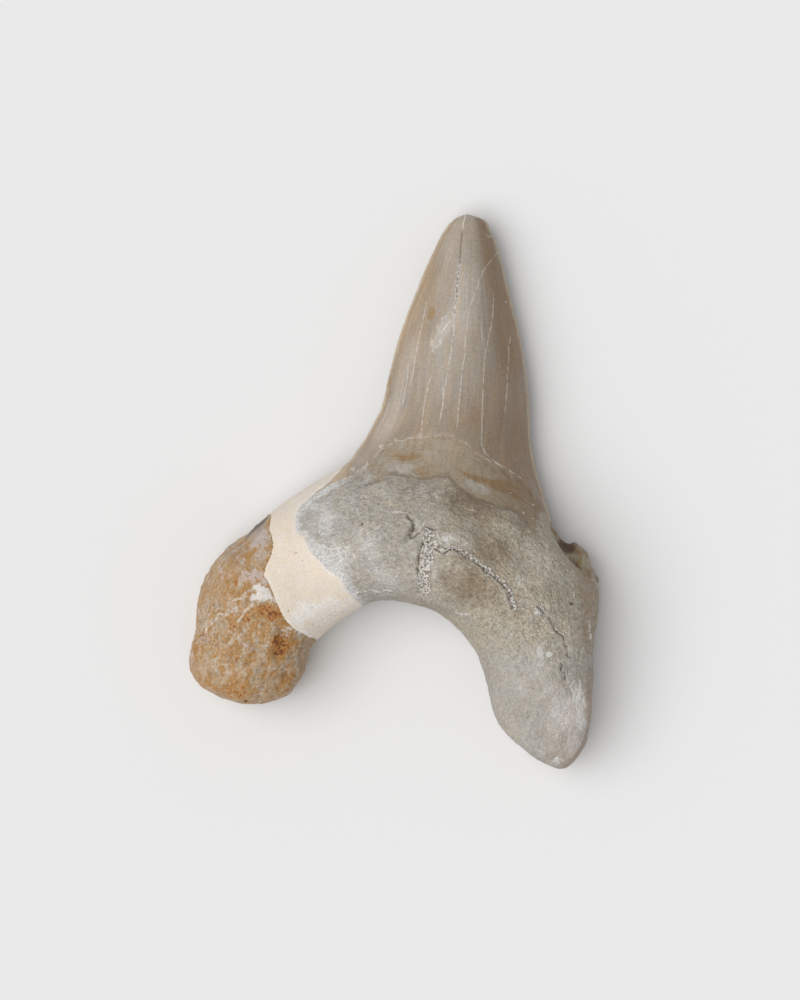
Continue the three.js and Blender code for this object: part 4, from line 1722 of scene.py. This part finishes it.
    def _root(self, paint: Paint) -> tuple[Wire, Wire]:
        """Colour the root.

        Args:
            paint: the material.

        Returns:
            The root's colour, and the height of its grain, mm.
        """
        patch = paint.grain(2.4, 4.0, 0.55)
        coarse = paint.grain(0.8, 2.0, 0.5, shift=7.0)
        fine = paint.grain(0.34, 3.0, 0.65)
        sand = paint.grain(0.17, 1.0, 0.5, shift=1.0)
        tone = paint.mark("tone") + (patch - 0.5) * 1.7
        colour = paint.mix(tone.ease(0.0, 1.1), self.root, self.root_pale)
        colour = paint.mix(tone.ease(0.0, -1.0), colour, self.root_dark)
        # The flank's own tint, and painted shade on the right lobe's steep side, which the flank mark
        # also carries.
        flank = (paint.mark("flank") + (coarse - 0.5) * 1.2).ease(0.2, 0.9)
        colour = paint.mix(flank * 0.8, colour, self.root_flank)
        hue = paint.grain(0.55, 2.0, 0.6, shift=5.0) * 0.6 + paint.grain(2.8, 2.0, 0.5, shift=17.0) * 0.4
        colour = colour.times(paint.mix(hue.ease(0.40, 0.60), (0.965, 1.0, 1.03), (1.03, 1.0, 0.955)))
        x, y, _ = paint.millimetres.parts()
        warm = x.ease(-5.0, 12.0) * y.ease(-20.0, -14.0)
        colour = colour.times(paint.mix(warm, (0.985, 1.0, 1.035), (0.985, 0.955, 0.885)))
        rosy = x.ease(14.5, 19.0) * y.ease(-19.0, -24.0)
        colour = colour.times(paint.mix(rosy, (1.0, 1.0, 1.0), (1.09, 1.02, 0.98)))
        stain = (paint.mark("stain") + (coarse - 0.5) * 0.9).ease(0.12, 1.25)
        colour = paint.mix(stain, colour, self.root_brown)
        colour = paint.mix(paint.mark("stain").ease(1.4, 2.0) * 0.85, colour, self.stain)
        freckle = (paint.grain(0.5, 2.0, shift=3.0) + paint.mark("stain") * 0.1).ease(0.66, 0.76)
        colour = paint.mix(freckle * 0.4, colour, self.root_brown)
        # Painted shade darkens the hollows away from the filler seam, and a painted highlight lightens
        # the small ridges.
        hollow_shade = (paint.mark("hollow_near") * 6.0 + paint.mark("hollow_wide") * 0.8).clamp()
        hollow_shade = hollow_shade * paint.mark("seam").ease(0.2, 0.8)
        colour = paint.mix(hollow_shade * 0.45, colour, self.root_dark)
        shine = (paint.mark("hollow_near") * -12.0).clamp()
        colour = paint.mix(shine * 0.4, colour, self.root_pale)
        dust = (paint.mark("dust") + (fine - 0.5) * 2.2 + (coarse - 0.5)).ease(0.35, 0.95)
        seam = (paint.mark("seam") + (coarse - 0.5) * 2.8 + (fine - 0.5) * 2.0).ease(1.1, 0.2)
        colour = paint.mix((seam * 0.75).most(dust * 0.8), colour, self.feather)
        fibre = paint.grain(0.28, 3.0, 0.65, stretch=(1.9, 1.0, 1.3), at=paint.place("bow"))
        grit = fine * 0.45 + fibre * 0.6 + sand * 0.6 - 0.825
        colour = colour.scaled(1.0 + grit * paint.mark("grit") * 1.7)
        thread = paint.grain(0.22, 2.0, 0.6, stretch=(2.6, 1.0, 1.0), at=paint.place("bow"), shift=21.0)
        dusty = (paint.mark("dust") * 1.2 + (coarse - 0.5)).ease(0.1, 0.9)
        thread = thread.ease(0.55, 0.65) * paint.mark("seam").ease(3.0, 0.3).most(dusty)
        colour = paint.mix(thread * 0.7, colour, self.feather)
        brushed = paint.grain(0.3, 3.0, 0.6, stretch=(12.0, 1.0, 1.0), at=paint.place("bow"), shift=15.0)
        worn = (paint.mark("brushed") + (coarse - 0.5) * 0.6).ease(0.2, 0.8)
        brushed = brushed.ease(0.48, 0.56) * worn
        colour = paint.mix(brushed * 0.85, colour, self.chalk)
        pores = paint.cells(0.62).ease(0.16, 0.07) * paint.grain(1.7, 1.0, shift=11.0).ease(0.5, 0.62)
        colour = paint.mix(pores * 0.55, colour, self.gap)
        # Painted glints: scattered white specks that stand in for light sparkling on the root's grains.
        glint = paint.cells(0.8, at=paint.millimetres.moved(4.0)).ease(0.16, 0.07)
        glint = glint * paint.grain(2.2, 2.0, shift=13.0).ease(0.45, 0.57)
        colour = paint.mix(glint * 0.65, colour, self.chalk)
        height = fine * 0.10 + fibre * 0.12 + coarse * 0.2 + sand * 0.05 - 0.235
        height = height + thread * 0.03 - pores * 0.04
        crumb = paint.mark("crumbs")
        broken = (crumb + (coarse - 0.5) * 1.7 + (fine - 0.5) * 1.4).ease(0.35, 0.7)
        grains = paint.cells(0.24).ease(0.76, 0.42)
        crumbs = paint.mix(grains, self.root_dark, self.chalk).scaled(0.36 + 0.7 * fine + 0.5 * sand)
        colour = paint.mix(broken * 0.8, colour, crumbs)
        height = height + broken * grains * 0.07
        return colour, height

    def _cusp(self, paint: Paint, colour: Wire) -> Wire:
        """Colour the broken side cusp.

        Args:
            paint: the material.
            colour: the skin's colour without it.

        Returns:
            The colour with the cusp on it.
        """
        tone = paint.grain(1.0, 3.0, 0.6, stretch=(0.8, 1.6, 1.0), shift=5.0)
        fine = paint.grain(0.3, 3.0, 0.65)
        shift = tone - 0.5
        cusp = paint.mix(tone.ease(0.44, 0.56), self.cusp, self.cusp_tan)
        x, y, _ = paint.millimetres.parts()
        cusp = paint.mix((y + shift * 3.0).ease(-7.4, -6.2) * 0.85, cusp, self.cusp_tan)
        edge = ((x - y * 0.35) + shift * 3.0).ease(24.6, 25.6)
        cusp = paint.mix(edge * 0.75, cusp, self.cusp_brown)
        cusp = cusp.scaled(0.45 + 1.1 * fine)
        colour = paint.mix((paint.mark("cusp") + shift * 0.8).ease(0.3, 0.7), colour, cusp)
        # Painted shade: darker brown in the dip between the blade and the cusp, and a near-black painted
        # shadow in the pit where the cusp meets the root.
        valley = (paint.mark("valley") + shift * 1.2).ease(0.15, 0.8)
        colour = paint.mix(valley * 0.6, colour, self.cusp_brown)
        pit_shadow = (paint.mark("pit_shadow") + shift * 0.9).ease(0.15, 0.8)
        return paint.mix(pit_shadow * 0.9, colour, self.pit_shadow)

    def _strokes(self, paint: Paint, colour: Wire, on_crown: Wire) -> tuple[Wire, Wire]:
        """Draw the hairlines, scratches, cracks and the chalky lip of the enamel.

        Args:
            paint: the material.
            colour: the skin's colour without them.
            on_crown: 1 on the enamel.

        Returns:
            The colour with them, and the height that they cut, mm.
        """
        wobble = paint.grain(0.5, 2.0, shift=2.0) - 0.5
        gap, passed, force = paint.stroke("hairline")
        along = paint.node("ShaderNodeCombineXYZ", sockets={0: passed, 1: 0.0, 2: 0.0})
        breaks = paint.grain(0.9, 3.0, 0.6, at=along).ease(0.38, 0.54)
        hair = (gap + wobble * 0.12).size().ease(0.085, 0.015) * force.ease(0.1, 0.9) * breaks
        colour = paint.mix(hair * 0.62, colour, self.chalk)
        gap, _, force = paint.stroke("scratch")
        scratch = (gap + wobble * 0.3).size().ease(0.16, 0.05) * force.ease(0.1, 0.7)
        scratch = scratch * paint.grain(0.6, 2.0, shift=12.0).ease(0.4, 0.5)
        colour = paint.mix(scratch * 0.75, colour, self.chalk)
        one, other = (
            paint.grain(0.26, 2.0, 0.5, stretch=(1.0, 7.0, 1.0), at=paint.turned(angle), shift=angle)
            for angle in (0.62, -0.5)
        )
        scuff = one.ease(0.52, 0.62).most(other.ease(0.54, 0.64) * 0.8) * 0.75 + 0.25
        scuff = scuff * (paint.mark("dust") + wobble * 1.2).ease(0.15, 0.7) * on_crown
        colour = paint.mix(scuff * 0.6, colour, self.chalk)
        lip = (paint.mark("enamel") + 0.06 + wobble * 0.3).size().ease(0.10, 0.02)
        torn = (paint.grain(0.8, 4.0, 0.7, shift=4.0) - paint.mark("across") * 0.06).ease(0.47, 0.58)
        lip = lip * torn * paint.mark("upper")
        colour = paint.mix(lip * 0.42, colour, self.chalk)
        colour = paint.mix(paint.mark("pins").ease(0.3, 0.8) * 0.85, colour, self.gap)
        chips = (paint.mark("chips") + wobble * 0.9).ease(0.35, 0.65)
        colour = paint.mix(chips * 0.75, colour, self.chalk)
        gap, _, force = paint.stroke("crack")
        crack = (gap + wobble * 0.4).size().ease(0.10, 0.03) * force.ease(0.25, 0.7)
        crack = crack * paint.grain(0.8, 2.0, shift=6.0).ease(0.34, 0.46)
        colour = paint.mix(crack * 0.6, colour, self.gap)
        # Painted shadow: a dark line along the groove under the band.
        shelf = (paint.mark("shelf") + wobble * 0.9).ease(0.35, 1.0)
        shelf = shelf * paint.grain(2.0, 2.0, shift=9.0).ease(0.40, 0.56)
        colour = paint.mix(shelf * 0.6, colour, self.root_dark)
        gap, passed, force = paint.stroke("tip_crack")
        near = force.ease(0.3, 0.6)
        crumbly = passed.ease(5.2, 6.0) * passed.ease(12.4, 11.0)
        white = passed.ease(2.8, 2.0).most(crumbly)
        thin = passed.ease(11.0, 12.4)
        side = (gap + wobble * 0.2).size()
        grit = paint.grain(0.24, 2.0, 0.6, shift=8.0)
        along = paint.node("ShaderNodeCombineXYZ", sockets={0: passed, 1: 0.0, 2: 0.0})
        beads = paint.grain(0.75, 2.0, 0.6, at=along, shift=3.0).ease(0.46, 0.52) * crumbly
        crumbs = side.ease(0.28, 0.06) * grit.ease(0.47, 0.54) * crumbly
        line = side.ease(0.09, 0.03) * white.most(thin * grit.ease(0.44, 0.54) * 0.75) * (1.0 - beads)
        colour = paint.mix(near * line.most(crumbs) * 0.7, colour, self.chalk)
        open_part = passed.ease(1.8, 2.6) * passed.ease(6.6, 5.6)
        dark = side.ease(0.10, 0.03) * open_part.most(beads) * near
        colour = paint.mix(dark * 0.6, colour, self.crack)
        height = (lip + scratch) * 0.02 - crack * 0.10 - shelf * 0.05 - dark * 0.03
        return colour, height + crumbs * near * 0.03


@dataclass(frozen=True)
class FillerFinish(Finish):
    """Dull cream plaster with fine specks, whiter and greyer where it was smeared."""

    cream: Colour = (0.80, 0.70, 0.585)
    white: Colour = (0.88, 0.835, 0.785)
    grey: Colour = (0.87, 0.78, 0.69)
    sliver: Colour = (0.79, 0.71, 0.62)
    pin: Colour = (0.22, 0.13, 0.07)

    def material(self) -> bpy.types.Material:
        """Build the material.

        Returns:
            The material, ready for a mesh.
        """
        paint = Paint("cream_filler")
        patch = paint.grain(2.2, 3.0)
        fine = paint.grain(0.26, 2.0, 0.6)
        shift = patch - 0.5
        blotch = paint.grain(0.9, 3.0, 0.6, shift=6.0) - 0.5
        smear = (paint.mark("smear") + shift * 1.6).ease(0.2, 0.9)
        notch = (paint.mark("notch") + shift).ease(0.1, 1.0)
        sliver = (paint.mark("sliver") + shift).ease(0.0, 0.9)
        rim = (paint.mark("to_tooth") + shift * 1.2).ease(0.5, 0.0)
        colour = paint.mix(smear * 0.85, self.cream, self.white)
        colour = paint.mix(notch * 0.8, colour, self.grey)
        colour = paint.mix(sliver * 0.8, colour, self.sliver)
        colour = paint.mix(rim * 0.6, colour, self.white)
        colour = colour.times(paint.mix(blotch.ease(-0.1, 0.1), (1.0, 0.985, 0.955), (0.985, 1.0, 1.03)))
        sand = paint.grain(0.17, 1.0, 0.5, shift=1.0)
        grit = (fine - 0.5) * 0.26 + (sand - 0.5) * 0.22
        force = 1.0 + paint.mark("notch") * 1.2 + paint.mark("smear") * 0.6
        colour = colour.scaled(1.0 + grit * force)
        speck = paint.cells(0.8).ease(0.14, 0.05) * paint.grain(1.2, 1.0, shift=3.0).ease(0.52, 0.62)
        speck = (speck * 0.5).most(paint.mark("pins").ease(0.3, 0.8))
        colour = paint.mix(speck * 0.8, colour, self.pin)
        height = fine * 0.04 + sand * 0.015 + paint.grain(1.0, 2.0, shift=5.0) * 0.06 - speck * 0.05
        return paint.finish(Base_Color=colour, Roughness=0.85, Normal=paint.bump(height), IOR=1.45)


@dataclass(frozen=True)
class BrownFinish(Finish):
    """Mottled orange-brown root with pale veins, rust and lilac-grey patches."""

    tan: Colour = (0.455, 0.322, 0.195)
    orange: Colour = (0.415, 0.205, 0.05)
    umber: Colour = (0.26, 0.15, 0.075)
    pale: Colour = (0.57, 0.485, 0.39)
    rust: Colour = (0.42, 0.14, 0.015)
    scab: Colour = (0.12, 0.035, 0.008)
    dark: Colour = (0.10, 0.058, 0.032)
    lilac: Colour = (0.58, 0.49, 0.455)
    grey: Colour = (0.37, 0.325, 0.27)
    dusk: Colour = (0.13, 0.095, 0.088)
    white: Colour = (0.76, 0.72, 0.68)

    def material(self) -> bpy.types.Material:
        """Build the material.

        Returns:
            The material, ready for a mesh.
        """
        paint = Paint("brown_stone")
        cloud = paint.grain(2.2, 4.0, 0.55)
        lean = paint.turned(0.5)
        streak = paint.grain(1.0, 4.0, 0.65, stretch=(1.0, 2.2, 1.0), at=lean)
        speck = paint.grain(0.32, 3.0, 0.65, shift=4.0)
        sand = paint.grain(0.17, 1.0, 0.5, shift=1.0)
        fleck = paint.grain(0.3, 3.0, 0.65, shift=40.0)
        bleach = paint.mark("pale")
        warm = cloud * 0.35 + streak * 0.65 + bleach * 0.05
        crust = paint.grain(0.8, 4.0, 0.65, shift=9.0) * 0.6 + streak * 0.4
        stripe = paint.grain(0.5, 4.0, 0.6, stretch=(1.0, 3.0, 1.0), at=lean, shift=12.0)
        calm = 1.0 - 0.55 * paint.millimetres.parts()[1].ease(-13.0, -9.0)
        colour = paint.mix(warm.ease(0.53, 0.44) * 0.9, self.tan, self.orange)
        colour = paint.mix(stripe.ease(0.50, 0.38) * 0.7, colour, self.orange)
        colour = paint.mix((crust + bleach * 0.06).ease(0.515, 0.625) * 0.75, colour, self.pale)
        colour = paint.mix(speck.ease(0.47, 0.36) * calm * 0.45, colour, self.umber)
        colour = paint.mix(speck.ease(0.54, 0.66) * calm * 0.4, colour, self.pale)
        colour = paint.mix(fleck.ease(0.52, 0.64) * calm * 0.5, colour, self.orange)
        shift = (cloud - 0.5) * 1.2 + (speck - 0.5) * 1.4
        bleached = paint.grain(1.3, 4.0, 0.7, at=lean, shift=30.0)
        lilac = (paint.mark("lilac") + shift + (bleached - 0.56) * 4.0).ease(0.15, 0.8)
        colour = paint.mix(lilac * 0.75, colour, self.lilac)
        grey = (paint.mark("grey") + shift).ease(0.15, 0.85)
        colour = paint.mix(grey * 0.65, colour, self.grey)
        edge = (paint.mark("edge") + shift).ease(0.2, 0.9)
        colour = paint.mix(edge * 0.85, colour, self.dusk)
        ragged = (crust - 0.5) * 3.5 + (fleck - 0.5) * calm * 5.0
        ragged = ragged * (0.35 + 0.65 * paint.mark("rust").ease(0.0, 1.0))
        rust = (paint.mark("rust") + ragged * 0.7).ease(0.15, 0.8)
        colour = paint.mix(rust * 0.8, colour, self.orange)
        deep_rust = (paint.mark("rust") + ragged * 1.5).ease(0.85, 1.35)
        colour = paint.mix(deep_rust * 0.85, colour, self.rust)
        scab = (paint.mark("rust") + ragged * 2.0).ease(1.7, 2.1)
        colour = paint.mix(scab * 0.85, colour, self.scab)
        gap, _, force = paint.stroke("vein")
        vein = (gap + (streak - 0.5) * 0.7).size().ease(0.26, 0.05) * force.ease(0.1, 0.8)
        vein = vein * (speck * 0.5 + crust * 0.5).ease(0.38, 0.52)
        white = (paint.mark("white") + shift * 0.9).ease(0.3, 0.85).most(vein * 0.62)
        colour = paint.mix(white * 0.9, colour, self.white)
        # Painted shade darkens the hollows away from the filler seam.
        hollow_shade = (paint.mark("hollow_near") * 8.0 + paint.mark("hollow_wide") * 1.2).clamp()
        hollow_shade = hollow_shade * paint.mark("seam").ease(0.2, 0.8)
        colour = paint.mix(hollow_shade * 0.6, colour, self.dark)
        colour = colour.scaled(1.0 + ((speck - 0.5) * 0.66 + (sand - 0.5) * 0.5) * (0.3 + 0.7 * calm))
        pores = paint.cells(0.7).ease(0.15, 0.06) * paint.grain(1.5, 1.0, shift=3.0).ease(0.5, 0.6)
        colour = paint.mix(pores * 0.6, colour, self.dark)
        height = speck * 0.09 + streak * 0.18 + crust * 0.12 + sand * 0.02 - pores * 0.04
        rough = 0.55 + (cloud - 0.5) * 0.6
        return paint.finish(Base_Color=colour, Roughness=rough, Normal=paint.bump(height), IOR=1.5)


@dataclass(frozen=True)
class TableFinish(Finish):
    """Plain matt white card."""

    shade: float = 0.85

    def material(self) -> bpy.types.Material:
        """Build the material.

        Returns:
            The material, ready for a mesh.
        """
        paint = Paint("card")
        card = (self.shade,) * 3
        return paint.finish(Base_Color=card, Roughness=0.9, IOR=1.4)


# ---- the studio ----


@dataclass(frozen=True)
class Studio:
    """A pale table under a big soft lamp from the left, seen from straight above."""

    table_half: float = 1.0  # half the table's width, m
    camera_place: tuple[float, float, float] = (0.000605, -0.001045, 0.42)  # m
    lens: float = 137.0  # mm
    sensor: float = 36.0  # mm
    lamp_turn: float = 190.0  # where the lamp stands, degrees from +X
    lamp_rise: float = 62.0  # how high it stands, degrees
    lamp_width: float = 60.0  # how wide it looks, degrees
    lamp_power: float = 0.59  # what it gives a flat white card
    room_power: float = 0.375  # what the room gives it

    def build(self) -> None:
        """Put up the table, the lamp, the room's light and the camera."""
        scene = bpy.context.scene
        scene.view_settings.view_transform = "Standard"
        self._table(scene)
        self._lamp(scene)
        self._room(scene)
        self._camera(scene)
        log.info("studio is up")

    def _table(self, scene: bpy.types.Scene) -> None:
        """Lay the table's sheet.

        Args:
            scene: where it goes.
        """
        half = self.table_half
        mesh = bpy.data.meshes.new("table")
        corners = [(-half, -half, 0.0), (half, -half, 0.0), (half, half, 0.0), (-half, half, 0.0)]
        mesh.from_pydata(corners, [], [(0, 1, 2, 3)])
        mesh.materials.append(TableFinish().material())
        table = bpy.data.objects.new("table", mesh)
        scene.collection.objects.link(table)

    def _lamp(self, scene: bpy.types.Scene) -> None:
        """Hang the lamp.

        Args:
            scene: where it goes.
        """
        turn, rise = math.radians(self.lamp_turn), math.radians(self.lamp_rise)
        lamp = bpy.data.lights.new("lamp", "SUN")
        lamp.angle = math.radians(self.lamp_width)
        lamp.energy = self.lamp_power * math.pi / math.sin(rise)
        holder = bpy.data.objects.new("lamp", lamp)
        flat = math.cos(rise)
        towards = Vector((flat * math.cos(turn), flat * math.sin(turn), math.sin(rise)))
        holder.rotation_euler = towards.to_track_quat("Z", "Y").to_euler()
        scene.collection.objects.link(holder)

    def _room(self, scene: bpy.types.Scene) -> None:
        """Fill the room with even white light.

        Args:
            scene: where it goes.
        """
        room = bpy.data.worlds.new("room")
        room.use_nodes = True
        background = room.node_tree.nodes["Background"]
        background.inputs["Color"].default_value = (1.0, 1.0, 1.0, 1.0)
        background.inputs["Strength"].default_value = self.room_power
        scene.world = room

    def _camera(self, scene: bpy.types.Scene) -> None:
        """Point the camera straight down.

        Args:
            scene: where it goes.
        """
        camera = bpy.data.cameras.new("camera")
        camera.sensor_width = self.sensor
        camera.lens = self.lens
        holder = bpy.data.objects.new("camera", camera)
        holder.location = self.camera_place
        scene.collection.objects.link(holder)
        scene.camera = holder


# ---- putting it together ----


def pieces(body: Body) -> list[tuple[Piece, Finish]]:
    """List the mended tooth's three pieces.

    Args:
        body: the shape that they share.

    Returns:
        Each piece with its finish.
    """
    tooth = NaturalTooth(
        body, name="tooth", node="tooth", slot="tooth_stone",
        low=(-12.5, -31.2, -0.6), high=(24.0, 31.2, 17.2), seams=((TO_FILLER, Side.LEFT, 0.0),),
    )
    filler = FillerBand(
        body, name="filler_band", node="filler_band", slot="cream_filler",
        low=(-17.0, -18.6, -0.6), high=(0.4, 7.2, 16.0),
        seams=((TO_FILLER, Side.RIGHT, FILLER_LAP), (TO_LOBE, Side.LEFT, FILLER_LAP)),
    )
    lobe = BrownLobe(
        body, name="brown_root_lobe", node="brown_root_lobe", slot="brown_stone",
        low=(-24.2, -24.8, -0.6), high=(-5.6, 0.2, 15.0), seams=((TO_LOBE, Side.RIGHT, 0.0),),
    )
    return [(tooth, ToothFinish()), (filler, FillerFinish()), (lobe, BrownFinish())]


def main() -> None:
    """Build the tooth and its studio."""
    logging.basicConfig(level=logging.INFO, format="%(name)s: %(message)s")
    for piece, finish in pieces(Body()):
        piece.build(finish)
    Studio().build()


if __name__ == "__main__":
    main()
